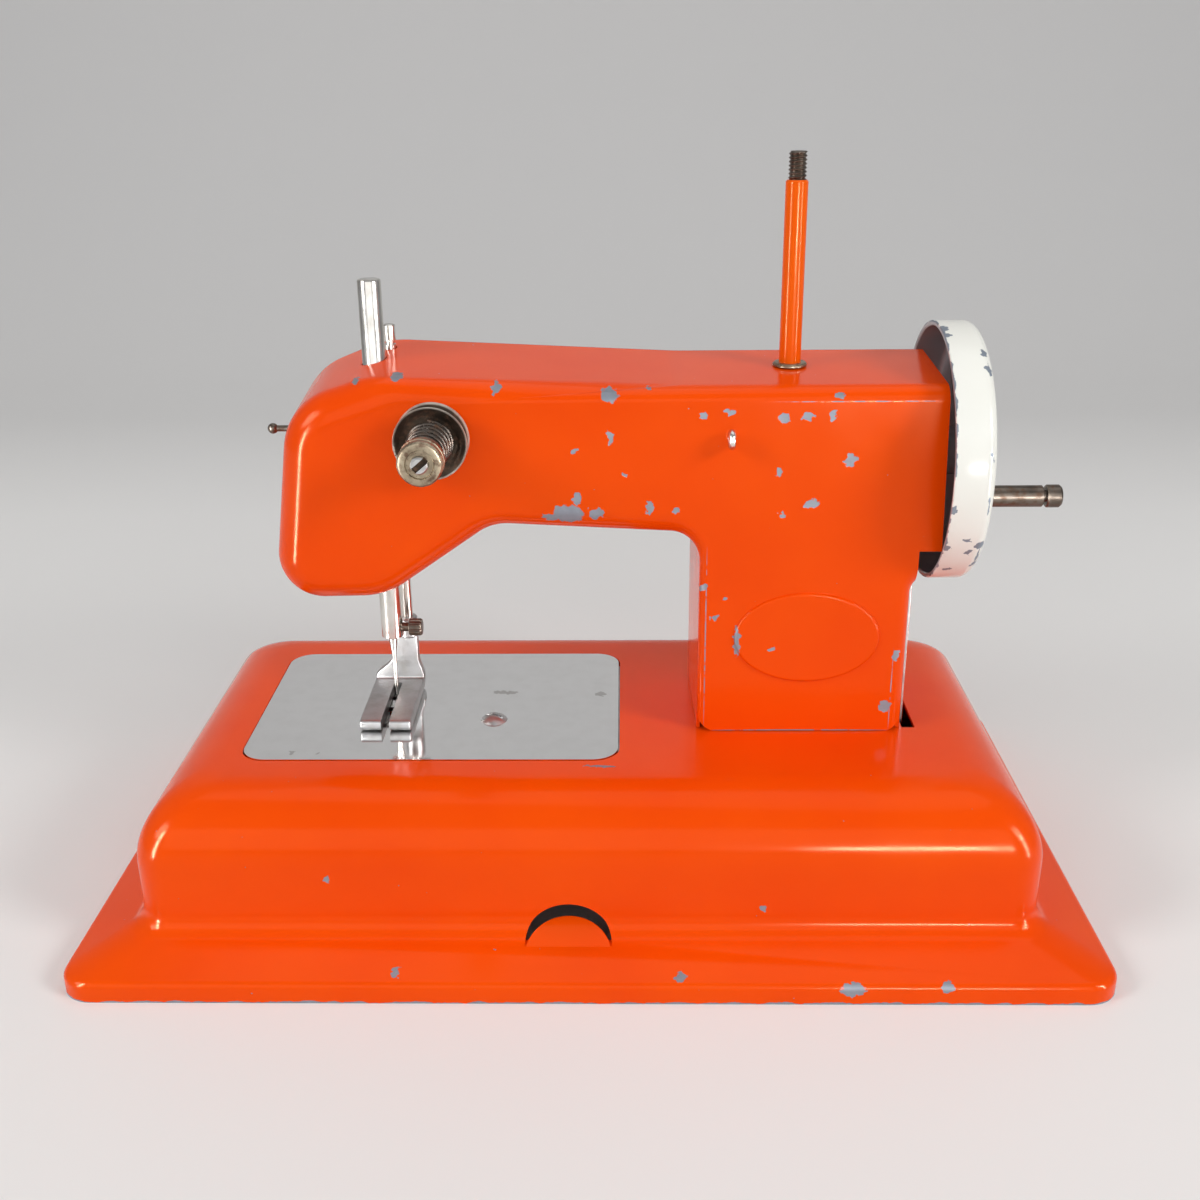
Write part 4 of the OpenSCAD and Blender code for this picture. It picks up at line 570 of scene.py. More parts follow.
def pan_profile(inward):
    """Section of the pan as (inset, height) rows from the lip's foot to the top's edge, moved inwards."""
    lip = (LIP_ROUND, flange_height(LIP_ROUND) - LIP_ROUND / math.cos(SLOPE))
    foot_inset = WALL_INSET - FOOT_RADIUS
    foot = (foot_inset, flange_height(foot_inset) + FOOT_RADIUS / math.cos(SLOPE))
    shoulder = (WALL_INSET + SHOULDER_RADIUS, DECK - SHOULDER_RADIUS)
    tilt = math.degrees(SLOPE)
    points = [(inward, 0.0)]
    points += arc(lip, LIP_ROUND - inward, 180, 90 + tilt, 8)
    points += arc(foot, FOOT_RADIUS + inward, 270 + tilt, 360, 10)
    points += arc(shoulder, SHOULDER_RADIUS - inward, 180, 90, 20)
    return points


def pan_rings(inward):
    return [
        rounded_ring(HALF_LENGTH - inset, HALF_WIDTH - inset, BASE_CORNER - inward, z, steps=12)
        for inset, z in pan_profile(inward)
    ]


base = loft("base_shell", list(reversed(pan_rings(SHEET))) + pan_rings(0), base_paint, angle=SHEET_SMOOTH)

# Openings of the base: the plate, the half-moon in the front wall and three slots in the top
DECK_CUT = 4
PLATE_GAP, PLATE_CORNER = 0.4, 6.5
CLAMP_X, CLAMP_RADIUS, CLAMP_SINK, CLAMP_BEND, CLAMP_GAP = -4.5, 10.7, 2.1, 62.0, 0.3
CLAMP_CHORD = flange_height(WALL_INSET - FOOT_RADIUS)
WALL_Y = WALL_INSET - HALF_WIDTH
COLUMN_X, COLUMN_WIDTH = 54.2, 54.5
COLUMN_LEFT, COLUMN_RIGHT = COLUMN_X - COLUMN_WIDTH / 2, COLUMN_X + COLUMN_WIDTH / 2
TAB_GAP = 0.3
LEVER_X = middle("rocker_lever")[0]
# Left edge, width, middle y and length of each slot
DECK_SLOTS = [
    (COLUMN_RIGHT - TAB_GAP, 3.4, MECH_Y - TAB_GAP, 34),
    (LEVER_X - 2, 4, MECH_Y, 21),
    (COLUMN_LEFT + 0.5, 1.5, MECH_Y, 8.6),
]


def deck_cutter(left, width, mid_y, length):
    lower = (left, mid_y - length / 2, DECK - DECK_CUT)
    return box_mesh("slot cutter", lower, (left + width, mid_y + length / 2, DECK + DECK_CUT), base_paint)


def half_moon(radius, steps=36):
    """Points of the half-moon over its chord, which lies at height 0."""
    start = math.degrees(math.asin(CLAMP_SINK / radius))
    return [(x, z - CLAMP_SINK) for x, z in arc((0, 0), radius, start, 180 - start, steps)]


plate_ring = rounded_ring(half("needle_plate", 0) + PLATE_GAP, half("needle_plate", 1) + PLATE_GAP,
                          PLATE_CORNER + PLATE_GAP, DECK, middle("needle_plate"))
plate_outline = [(x, y) for x, y, _ in plate_ring]
moon_outline = [(CLAMP_X + x, CLAMP_CHORD + z) for x, z in half_moon(CLAMP_RADIUS)]
cut(
    base,
    prism_z("plate cutter", plate_outline, DECK - DECK_CUT, DECK + DECK_CUT, base_paint),
    prism_y("moon cutter", moon_outline, WALL_Y - FOOT_RADIUS, WALL_Y + 2 * SHEET, base_paint),
    *[deck_cutter(*slot) for slot in DECK_SLOTS],
    angle=SHEET_SMOOTH,
)
tongue = prism_y("clamp_tongue", half_moon(CLAMP_RADIUS - CLAMP_GAP), 0, SHEET, base_paint)
tongue.data.transform(
    Matrix.Translation(Vector((CLAMP_X, WALL_Y - FOOT_RADIUS, CLAMP_CHORD)) * MM)
    @ Matrix.Rotation(math.radians(-CLAMP_BEND), 4, "X")
)
soften(tongue, SHEET_EDGE)
show(base, "machine", "orange_paint", "base_pan")
show(tongue, "machine", "orange_paint")


# Casing: outline corners as x, height, rounding and how far each sinks towards the front

ARM_TOP, HEAD_TOP, HEAD_UNDER, ARM_UNDER = 92.3, 95.8, 34.6, 54.6
HEAD_REACH, ARM_REACH, ARM_END_LEAN, ARM_END_DROP = 27.8, 4.5, 1.2, 20.4
HEAD_LEFT, ARM_END = NEEDLE_X - HEAD_REACH, COLUMN_RIGHT + ARM_REACH
ARM_END_UNDER = SHAFT_Z - ARM_END_DROP
# The outline runs on past the arm's end and below the deck, where the waste is cut away
OUTLINE_SPARE, STEP_SPARE = 24, 9
FAR_END, BELOW = ARM_END + OUTLINE_SPARE, DECK - OUTLINE_SPARE
STEP_UNDER = ARM_END_UNDER - STEP_SPARE
CASING_SHEET, CASING_DRAFT, BACK_EDGE = 0.9, 0.8, 5.0
FOOT_ROUND, FOOT_GAP, SEAM_GAP, LEAST_ROUND = 5.5, 0.25, 0.2, 0.5
CORNERS = [
    (FAR_END, DECK + ARM_TOP, 12, 1.2), (COLUMN_LEFT - 5, DECK + ARM_TOP, 80, 1.2),
    (NEEDLE_X + 1, DECK + HEAD_TOP, 26, 2.6), (HEAD_LEFT + 7.2, DECK + HEAD_TOP - 8.6, 18, 1.0),
    (HEAD_LEFT, DECK + HEAD_UNDER, 12, 0), (NEEDLE_X + 2, DECK + HEAD_UNDER + 0.5, 20, 0),
    (NEEDLE_X + 30, DECK + ARM_UNDER, 12, 0), (COLUMN_LEFT, DECK + ARM_UNDER - 2.6, 6, 0),
    (COLUMN_LEFT, BELOW, 12, 0), (COLUMN_RIGHT, BELOW, 12, 0),
    (COLUMN_RIGHT, STEP_UNDER, 3, 0), (FAR_END, STEP_UNDER, 12, 0),
]
# Rounding of the front edge along each side, from the arm's top round to the arm's end
FRONT_EDGES = [3.8, 5.5, 8.0, 7.5, 7.0, 7.0, 6.0, 2.0, 3.5, 3.5, 6.0, 6.0]
COLUMN_SIDE = 7
BACK_EDGES = [BACK_EDGE] * len(CORNERS)
NO_INSET = [0.0] * len(CORNERS)


def sides_at(outline, i):
    """Directions of the two sides that meet at a corner, and the inward normals of these sides."""
    into = (outline[i] - outline[i - 1]).normalized()
    out = (outline[(i + 1) % len(outline)] - outline[i]).normalized()
    return into, out, Vector((-into.y, into.x)), Vector((-out.y, out.x))


def set_in(outline, insets):
    """Outline with every side moved inwards by its own distance."""
    moved = []
    for i, at in enumerate(outline):
        _, _, first, second = sides_at(outline, i)
        first_reach = first.dot(at) + insets[i - 1]
        second_reach = second.dot(at) + insets[i]
        cross = first.x * second.y - first.y * second.x
        moved.append(Vector((
            (first_reach * second.y - second_reach * first.y) / cross,
            (first.x * second_reach - second.x * first_reach) / cross,
        )))
    return moved


def casing_ring(insets, depths, share, steps=14):
    """Ring of points with one inset and one depth for each side; share says how far the corners have sunk."""
    outline = set_in([Vector((x, z - drop * share)) for x, z, _, drop in CORNERS], insets)
    ring = []
    for i, at in enumerate(outline):
        into, out, first, second = sides_at(outline, i)
        bend = into.x * out.y - into.y * out.x
        side = 1 if bend > 0 else -1
        radius = max(CORNERS[i][2] - side * (insets[i - 1] + insets[i]) / 2, LEAST_ROUND)
        centre = at + (first + second) * side * radius / (1 + into.dot(out))
        start = math.atan2(-side * first.y, -side * first.x)
        sweep = math.atan2(bend, into.dot(out))
        for j in range(steps + 1):
            turn = start + sweep * j / steps
            y = depths[i - 1] + (depths[i] - depths[i - 1]) * j / steps
            ring.append((centre.x + radius * math.cos(turn), y, centre.y + radius * math.sin(turn)))
    return ring


def edge_rings(edges, face_y, towards, draft, share, steps=10):
    """Rings of a rounded edge, from the wall to the flat face at face_y."""
    rings = []
    for k in range(steps + 1):
        turn = math.radians(90 * k / steps)
        insets = [draft + edge * (1 - math.cos(turn)) for edge in edges]
        depths = [face_y + towards * edge * (1 - math.sin(turn)) for edge in edges]
        rings.append(casing_ring(insets, depths, share))
    return rings


def shell(name, seam_y, edges):
    """Sheet-metal half of the casing, from the seam to its rounded edge and face."""
    seam = casing_ring(NO_INSET, [seam_y] * len(CORNERS), 0)
    obj = loft(name, [seam] + edges, casing_paint, first_cap=False, angle=SHEET_SMOOTH)
    step = obj.modifiers.new("sheet", "SOLIDIFY")
    step.thickness = CASING_SHEET * MM
    step.offset = -1.0
    bpy.context.view_layer.update()
    apply_modifiers(obj, SHEET_SMOOTH)
    return obj


def casing_waste(out=190, deep=60):
    """What is cut away below the deck and past the arm's end; out and deep reach beyond the machine."""
    side, foot = COLUMN_RIGHT + 0.2, DECK + FOOT_GAP
    outline = [
        (-out, foot), (-out, -out), (out, -out), (out, out), (ARM_END, out), (ARM_END, DECK + ARM_TOP),
        (ARM_END + ARM_END_LEAN, ARM_END_UNDER), (side, ARM_END_UNDER), (side, foot),
    ]
    return prism_y("waste", outline, -deep, deep, casing_paint)


def round_cutter(place, axis, radius, start, end):
    return turned("hole cutter", [(start, radius), (end, radius)], place, axis, casing_paint, 40)


def foot_cutter(side, spare=4):
    """What the rounding takes off a lower corner of the column's front."""
    corner = COLUMN_X + side * (COLUMN_WIDTH / 2 - CASING_DRAFT)
    middle_x, middle_z = corner - side * FOOT_ROUND, DECK + FOOT_ROUND
    outline = [(corner + side * spare, DECK - spare), (corner + side * spare, middle_z)]
    outline += [(middle_x + side * x, middle_z - z) for x, z in arc((0, 0), FOOT_ROUND, 0, 90, 12)]
    outline.append((middle_x, DECK - spare))
    deep = FRONT_Y + FRONT_EDGES[COLUMN_SIDE]
    return prism_y("foot cutter", outline, FRONT_Y - spare, deep, casing_paint)


BAR_ROOM, TENSION_HOLE = 0.3, 2.1
# The cutters of the bar holes reach beyond the head
head_low, head_high = DECK + HEAD_UNDER - 2, DECK + HEAD_TOP + 6
front_edges = edge_rings(FRONT_EDGES, FRONT_Y, towards=1, draft=CASING_DRAFT, share=1)
front = shell("front_shell", SEAM_Y, front_edges)
cut(
    front, casing_waste(), foot_cutter(-1), foot_cutter(1),
    round_cutter(NEEDLE_AXIS, "z", BAR_RADIUS + BAR_ROOM, head_low, head_high),
    round_cutter(PRESSER_AXIS, "z", PRESSER_RADIUS + BAR_ROOM, head_low, head_high),
    round_cutter(TENSION_AXIS, "y", TENSION_HOLE, FRONT_Y - 2, FRONT_Y + 3),
    angle=SHEET_SMOOTH,
)
show(front, "machine", "orange_paint", "front_casing")

back_edges = edge_rings(BACK_EDGES, BACK_Y, towards=-1, draft=0.0, share=0)
back = shell("rear_shell", SEAM_Y + SEAM_GAP, back_edges)
cut(back, casing_waste(), angle=SHEET_SMOOTH)
show(back, "machine", "orange_paint", "rear_casing")

# Flange of the rear casing beside the column, with a bare front edge
FLANGE_GAP, FLANGE_FRONT, FLANGE_HEIGHT, FLANGE_FOOT, FLANGE_LAP = 0.15, 10.5, 37, 2.2, 1
flange_x, flange_back = COLUMN_RIGHT + FLANGE_GAP, BACK_Y - BACK_EDGE + FLANGE_LAP
flange = box_mesh("rear_flange", (flange_x, MECH_Y - FLANGE_FRONT, DECK - FLANGE_FOOT),
                  (flange_x + CASING_SHEET, flange_back, DECK + FLANGE_HEIGHT), casing_paint)
paint_faces(flange, zinc, lambda face: face.normal.y < -0.9)
soften(flange, SHEET_EDGE)
show(flange, "machine", "orange_paint")

# Embossed oval on the column: share of its size and rise at each step
BADGE_X, BADGE_Z, BADGE_HALF_WIDTH, BADGE_HALF_HEIGHT = COLUMN_X + 0.8, DECK + 26.4, 18.3, 12
BADGE_STEPS = [(1.0, -0.2), (1.0, 0.1), (0.99, 0.5), (0.978, 0.72), (0.96, 0.8), (0.94, 0.8)]
badge_rings = []
for share, rise in BADGE_STEPS:
    circle = arc((0, 0), share, 0, 357, 119)
    badge_rings.append([
        (BADGE_X + BADGE_HALF_WIDTH * x, FRONT_Y - rise, BADGE_Z + BADGE_HALF_HEIGHT * z) for x, z in circle
    ])
badge = loft("badge", badge_rings, casing_paint, first_cap=False, angle=60)
show(badge, "machine", "orange_paint")


# Handwheel and its handle: profiles are (place along the axis, radius)

WHEEL_AXIS, WHEEL_SEGMENTS = (0, MECH_Y, SHAFT_Z), 128
HUB_LEFT, HUB_RADIUS, BORE_RADIUS = low("handwheel")[0], 6.0, 3.06
WEB_OUTER, WEB_INNER, WEB_DISH = 22.0, 14.0, 0.3
edge_middle = (WHEEL_RIGHT - WHEEL_EDGE, WHEEL_RADIUS - WHEEL_EDGE)
outer = [
    (WHEEL_LEFT, WHEEL_RADIUS - 0.4), (WHEEL_LEFT + 0.12, WHEEL_RADIUS - 0.1),
    (WHEEL_LEFT + 0.4, WHEEL_RADIUS), *arc(edge_middle, WHEEL_EDGE, 90, 0, 10),
    (WHEEL_RIGHT, WEB_OUTER), (WHEEL_RIGHT - WEB_DISH, WEB_INNER), (WHEEL_RIGHT, HUB_RADIUS),
    (WHEEL_RIGHT, BORE_RADIUS),
]
inner = [
    (HUB_LEFT, BORE_RADIUS), (HUB_LEFT, HUB_RADIUS - 0.4), (HUB_LEFT + 0.4, HUB_RADIUS),
    (WHEEL_RIGHT - WHEEL_SHEET, HUB_RADIUS), *arc(edge_middle, WHEEL_EDGE - WHEEL_SHEET, 0, 90, 8),
    (WHEEL_LEFT + 0.3, WHEEL_RADIUS - WHEEL_SHEET), (WHEEL_LEFT, WHEEL_RADIUS - WHEEL_SHEET + 0.3),
]
wheel = turned("wheel_dish", outer + inner, WHEEL_AXIS, "x", cream_paint, WHEEL_SEGMENTS, closed=True,
               angle=40)
paint_faces(wheel, primer, lambda face: face.index // WHEEL_SEGMENTS >= len(outer))
show(wheel, "wheel", "cream_paint", "handwheel")

handle_axis = (0, *middle("handle_sleeve")[1:])
sleeve_low, sleeve_high = low("handle_sleeve")[0], high("handle_sleeve")[0]
rivet_end = high("handle_rivet")[0]
sleeve_radius, collar_radius = half("handle_sleeve", 1), half("handle_rivet", 1)
RIVET_RADIUS, RIVET_FLANGE, SLEEVE_BORE, COLLAR = 1.4, 2.5, 1.5, 3.6
sleeve = turned("sleeve", [
    (sleeve_low, SLEEVE_BORE), (sleeve_low, sleeve_radius - 0.2), (sleeve_low + 0.2, sleeve_radius),
    (sleeve_high - 0.2, sleeve_radius), (sleeve_high, sleeve_radius - 0.2), (sleeve_high, SLEEVE_BORE),
], handle_axis, "x", brown_steel, 40)
show(sleeve, "handle", "dark_steel", "handle_sleeve")
rivet = turned("rivet", [
    (WHEEL_RIGHT - 2.7, RIVET_RADIUS), (WHEEL_RIGHT - 2.7, RIVET_FLANGE - 0.2),
    (WHEEL_RIGHT - 2.4, RIVET_FLANGE), (WHEEL_RIGHT - 1.3, RIVET_FLANGE), (WHEEL_RIGHT - 1.3, RIVET_RADIUS),
    (rivet_end - COLLAR, RIVET_RADIUS), (rivet_end - COLLAR, collar_radius - 0.3),
    (rivet_end - COLLAR + 0.3, collar_radius), (rivet_end - 0.5, collar_radius),
    (rivet_end, collar_radius - 0.4), (rivet_end, 0.9), (rivet_end - 0.3, 0.5),
], handle_axis, "x", brown_steel, 40)
show(rivet, "wheel", "dark_steel", "handle_rivet")


# Head: bars, needle, clamp screw and foot

bar_low, bar_high, tip = low("needle_bar")[2], high("needle_bar")[2], low("needle")[2]
BAR_BORE, BAR_BORE_DEPTH, SHANK_RADIUS, SHANK_GAP = 1.06, 8, 1.0, 0.06
bar = turned("bar", [
    (bar_low + BAR_BORE_DEPTH, BAR_BORE), (bar_low, BAR_BORE), (bar_low, BAR_RADIUS - 0.5),
    (bar_low + 0.4, BAR_RADIUS), (bar_high - 0.5, BAR_RADIUS), (bar_high - 0.15, BAR_RADIUS - 0.2),
    (bar_high, BAR_RADIUS - 0.6), (bar_high, 0.4),
], NEEDLE_AXIS, "z", nickel, 48)
show(bar, "needle_bar", "bright_bar", "needle_bar")
needle = turned("needle_blade", [
    (bar_low + BAR_BORE_DEPTH - 0.1, SHANK_RADIUS), (bar_low - SHANK_GAP, SHANK_RADIUS),
    (bar_low - SHANK_GAP, 1.2), (bar_low - 1.0, 1.15), (bar_low - 5, 0.6), (tip + 6, 0.55), (tip + 4.4, 0.62),
    (tip + 3.4, 0.5), (tip + 2, 0.42), (tip, 0.1),
], NEEDLE_AXIS, "z", nickel, 32)
show(needle, "needle_bar", "bright_bar", "needle")

KNURL_LEAST, KNURL_SHARE = 2.0, 1.2


def knurl(count, depth):
    """Grooves along a knob, only where its radius is more than the least one."""
    def grooved(turn, along, radius):
        in_groove = (turn * count / math.pi) % 2 > KNURL_SHARE
        return radius - depth if in_groove and radius > KNURL_LEAST else radius
    return grooved


clamp_left, clamp_right = low("needle_clamp_screw")[0], high("needle_clamp_screw")[0]
CLAMP_SHANK, KNOB_RADIUS, KNOB_LENGTH = 1.2, 2.3, 3.6
screw = turned("clamp_knob", [
    (clamp_left, CLAMP_SHANK), (clamp_right - KNOB_LENGTH, CLAMP_SHANK), (clamp_right - KNOB_LENGTH, 1.9),
    (clamp_right - KNOB_LENGTH + 0.25, KNOB_RADIUS), (clamp_right - 0.5, KNOB_RADIUS),
    (clamp_right - 0.1, 2.05), (clamp_right, 1.7), (clamp_right, 0.3),
], (0, *middle("needle_clamp_screw")[1:]), "x", brown_steel, 96, flute=knurl(18, 0.16))
show(screw, "clamp_screw", "dark_steel", "needle_clamp_screw")

presser_low, presser_high = low("presser_bar")[2], high("presser_bar")[2]
GROOVE_DEPTH = 0.4
presser = turned("presser_rod", [
    (presser_low, PRESSER_RADIUS), (presser_high - 5, PRESSER_RADIUS),
    (presser_high - 4.9, PRESSER_RADIUS - GROOVE_DEPTH), (presser_high - 4.1, PRESSER_RADIUS - GROOVE_DEPTH),
    (presser_high - 4.0, PRESSER_RADIUS), (presser_high - 0.3, PRESSER_RADIUS),
    (presser_high, PRESSER_RADIUS - 0.35), (presser_high, 0.2),
], PRESSER_AXIS, "z", nickel, 32)
show(presser, "presser", "bright_bar", "presser_bar")

foot_front, foot_half = low("presser_foot")[1], half("presser_foot", 0)
FOOT_SHEET, FOOT_BEND, TOE_ROUND, TOE_TAPER = 2.9, 2.0, 1.1, 0.4
SHANK_HALF, SHANK_ROUND, SHANK_X = 3.7, 0.8, PRESSER_X - 1.2
FLARE, NECK, SHANK_TOP = DECK + 3.8, DECK + 9.3, DECK + 16.5
FORK_HALF, FORK_END = 1.1, MECH_Y + 2.6
STRIP_ROUND = 0.45
sole = low("presser_foot")[2] - 0.2


def foot_path():
    """Rows along the foot's strip: y, z, direction in degrees, half width, middle x and half thickness."""
    thick = FOOT_SHEET / 2
    rows = []
    for i in range(6):
        turn = math.radians(18 * i)
        taper = 1 - math.sin(turn)
        rows.append((foot_front + TOE_ROUND * (1 - math.cos(turn)), sole + thick, 0,
                     foot_half - TOE_TAPER * taper, NEEDLE_X, thick - TOE_ROUND * taper))
    bend = arc((PRESSER_Y - FOOT_BEND, sole + thick + FOOT_BEND), FOOT_BEND, -90, 0, 8)
    for i, (y, z) in enumerate(bend):
        rows.append((y, z, 90 * i / 8, foot_half, NEEDLE_X, thick))
    for i in range(7):
        share = i / 6
        ease = share * share * (3 - 2 * share)
        rows.append((PRESSER_Y, FLARE + (NECK - FLARE) * share, 90,
                     foot_half + (SHANK_HALF - foot_half) * ease,
                     NEEDLE_X + (SHANK_X - NEEDLE_X) * ease, thick))
    rows.append((PRESSER_Y, SHANK_TOP - SHANK_ROUND, 90, SHANK_HALF, SHANK_X, thick))
    rows.append((PRESSER_Y, SHANK_TOP, 90, SHANK_HALF - SHANK_ROUND, SHANK_X, thick - 0.3))
    return rows


def strip_ring(y, z, tilt, half_width, x, thick):
    """Rounded section of the strip, square to its way."""
    turn = math.radians(tilt)
    section = rounded_ring(half_width, thick, min(STRIP_ROUND, 0.8 * thick), 0, steps=3)
    return [(x + across, y - up * math.sin(turn), z + up * math.cos(turn)) for across, up, _ in section]


foot = loft("foot_strip", [strip_ring(*row) for row in foot_path()], zinc, angle=40)
fork = [(NEEDLE_X - FORK_HALF, foot_front - 2), (NEEDLE_X + FORK_HALF, foot_front - 2)]
fork += arc((NEEDLE_X, FORK_END), FORK_HALF, 0, 180, 9)
cut(foot, prism_z("fork cutter", fork, sole - 2, sole + 6, zinc), angle=40)
show(foot, "presser", "plain_steel", "presser_foot")
BARREL_LOW, BARREL_HIGH, BARREL_RADIUS = DECK + 15.6, DECK + 21.4, 2.6
barrel_bore = PRESSER_RADIUS + 0.05
barrel = turned("foot_barrel", [
    (BARREL_LOW, barrel_bore), (BARREL_LOW, BARREL_RADIUS - 0.3), (BARREL_LOW + 0.4, BARREL_RADIUS),
    (BARREL_HIGH - 0.4, BARREL_RADIUS), (BARREL_HIGH, BARREL_RADIUS - 0.3), (BARREL_HIGH, barrel_bore),
], PRESSER_AXIS, "z", zinc, 40)
show(barrel, "presser", "plain_steel")


# Spool pin with its threaded tip and washer

spool_axis = (*middle("spool_pin")[:2], 0)
spool_high, washer_low, seat = high("spool_pin")[2], low("spool_washer")[2], high("spool_washer")[2]
PIN_RADIUS, WASHER_RADIUS, WASHER_BORE = 2.7, 4.2, 2.3
TIP_LENGTH, THREAD_RADIUS, THREAD_PITCH, THREAD_DEPTH, THREAD_ROWS = 6.5, 2.2, 0.9, 0.42, 90
pin_top = spool_high - TIP_LENGTH
thread_low = pin_top - 0.2
pin = turned("pin", [
    (seat, THREAD_RADIUS), (seat, PIN_RADIUS), (pin_top - 0.4, PIN_RADIUS), (pin_top, PIN_RADIUS - 0.35),
    (pin_top, 0.5),
], spool_axis, "z", pin_paint, 48)
show(pin, "machine", "orange_paint", "spool_pin")


def thread(turn, along, radius):
    phase = (along / THREAD_PITCH - turn / (2 * math.pi)) % 1.0
    return radius - THREAD_DEPTH * abs(2 * phase - 1)


thread_profile = [
    (thread_low + (spool_high - thread_low) * i / THREAD_ROWS, THREAD_RADIUS) for i in range(THREAD_ROWS)
]
thread_profile.append((spool_high, THREAD_RADIUS - 0.35))
pin_thread = turned("pin_thread", thread_profile, spool_axis, "z", brown_steel, 40, flute=thread)
show(pin_thread, "machine", "dark_steel")
washer = turned("pin_washer", [
    (washer_low, WASHER_BORE), (washer_low, WASHER_RADIUS), (washer_low + 0.4, WASHER_RADIUS),
    (seat, WASHER_RADIUS - 0.35), (seat, WASHER_BORE),
], spool_axis, "z", worn_nickel, 48)
show(washer, "machine", "plain_steel", "spool_washer")


# Thread eyelet on the arm and ball-headed stud on the head

eyelet_x, _, eyelet_z = middle("thread_eyelet")
EYELET_WIRE, EYELET_RING = 0.9, 1.6
ring_y = low("thread_eyelet")[1] + EYELET_RING + EYELET_WIRE
ring_path = [Vector((eyelet_x, y, z)) for y, z in arc((ring_y, eyelet_z), EYELET_RING, 0, 360, 48)]
eyelet = tube("eyelet_ring", ring_path, EYELET_WIRE, nickel)
show(eyelet, "machine", "bright_bar", "thread_eyelet")
shank = turned("eyelet_shank", [(FRONT_Y - 1.4, EYELET_WIRE), (high("thread_eyelet")[1], EYELET_WIRE)],
               (eyelet_x, 0, eyelet_z), "y", nickel, 24)
show(shank, "machine", "bright_bar")

BALL_RADIUS, STUD_RADIUS, LEAST_RADIUS = 1.35, 0.8, 0.05
ball_x = low("thread_stud")[0] + BALL_RADIUS
ball = [(x, max(radius, LEAST_RADIUS)) for x, radius in arc((ball_x, 0), BALL_RADIUS, 180, 36, 12)]
stud = turned("thread_ball", ball + [(ball_x + 1.2, STUD_RADIUS), (high("thread_stud")[0], STUD_RADIUS)],
              (0, *middle("thread_stud")[1:]), "x", brown_steel, 32)
show(stud, "machine", "dark_steel", "thread_stud")


# Thread tension: two dished discs and their spring

DISC_SHEET, DISC_FLAT, DISC_DISH, DISC_BORE = 0.7, 6.2, 2.2, 2.2
disc_meet = low("tension_disc_rear")[1]


def disc_profile(way):
    dished = [
        (DISC_BORE, 0.0), (DISC_FLAT, 0.0), (DISC_FLAT + 0.6, 0.15), (DISC_RADIUS - 0.15, DISC_DISH),
        (DISC_RADIUS, DISC_DISH + 0.35), (DISC_RADIUS - 0.15, DISC_DISH + DISC_SHEET),
        (DISC_FLAT + 0.3, 0.15 + DISC_SHEET), (DISC_FLAT - 0.3, DISC_SHEET), (DISC_BORE, DISC_SHEET),
    ]
    return [(disc_meet + way * along, radius) for radius, along in dished]


for way, node_name in ((1, "tension_disc_rear"), (-1, "tension_disc_front")):
    disc = turned(node_name + "_dish", disc_profile(way), TENSION_AXIS, "y", disc_stain_and_slot_shade, 64, closed=True)
    show(disc, "machine", "rusty_nickel", node_name)

spring_low, spring_high = low("tension_spring")[1], high("tension_spring")[1]
COILS, WIRE, WIDE, NARROW = 5.5, 0.9, 5.3, 4.1
wire_path = coil(WIDE, NARROW, spring_high, spring_low, COILS, WIRE, TENSION_AXIS, "y")
spring = tube("spring_wire", wire_path, WIRE / 2, wire_steel, 12)
show(spring, None, "dark_steel", "tension_spring")
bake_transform(spring)

# Presser spring inside the head
hidden_low, hidden_high = low("presser_spring")[2], high("presser_spring")[2]
HIDDEN_COILS, HIDDEN_WIRE, HIDDEN_RADIUS = 7, 0.6, 2.3
hidden_path = coil(HIDDEN_RADIUS, HIDDEN_RADIUS, hidden_low, hidden_high, HIDDEN_COILS, HIDDEN_WIRE,
                   PRESSER_AXIS, "z", 24)
hidden_spring = tube("presser_wire", hidden_path, HIDDEN_WIRE / 2, zinc, 8)
show(hidden_spring, None, "plain_steel", "presser_spring")
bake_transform(hidden_spring)

# Nut and slotted stud of the thread tension
nut_front, nut_back = low("tension_nut")[1], high("tension_nut")[1]
NUT_RADIUS, NUT_WAIST, NUT_BORE = 5.3, 4.7, 2.1
nut_profile = [
    (nut_back, NUT_BORE), (nut_back, NUT_RADIUS - 0.4), (nut_back - 0.4, NUT_RADIUS),
    (nut_back - 1.9, NUT_RADIUS), (nut_back - 2.2, NUT_WAIST), (nut_back - 2.6, NUT_WAIST),
    (nut_back - 2.9, NUT_RADIUS), (nut_front + 0.7, NUT_RADIUS), (nut_front + 0.15, NUT_RADIUS - 0.4),
    (nut_front, 4.4), (nut_front, 3.4), (nut_front + 0.35, 3.2), (nut_front + 0.35, NUT_BORE),
]
nut = turned("nut", nut_profile, TENSION_AXIS, "y", worn_nickel, 96, closed=True, flute=knurl(40, 0.09))
show(nut, "tension_nut", "rusty_nickel", "tension_nut")

stud_front, stud_back = low("tension_stud")[1], high("tension_stud")[1]
ROD_RADIUS, SLOT_HALF, SLOT_DEPTH, SLOT_TURN = 2.0, 0.7, 1.8, -40
tension_rod = turned("stud", [
    (stud_back, ROD_RADIUS), (stud_front + 0.4, ROD_RADIUS), (stud_front, ROD_RADIUS - 0.35),
    (stud_front, 0.2),
], TENSION_AXIS, "y", zinc, 40)
slot_cutter = box_mesh("slot cutter", (-2 * ROD_RADIUS, -SLOT_DEPTH, -SLOT_HALF),
                       (2 * ROD_RADIUS, SLOT_DEPTH, SLOT_HALF), zinc)
slot_cutter.data.transform(
    Matrix.Translation(Vector((TENSION_X, stud_front, TENSION_Z)) * MM)
    @ Matrix.Rotation(math.radians(SLOT_TURN), 4, "Y")
)
cut(tension_rod, slot_cutter)


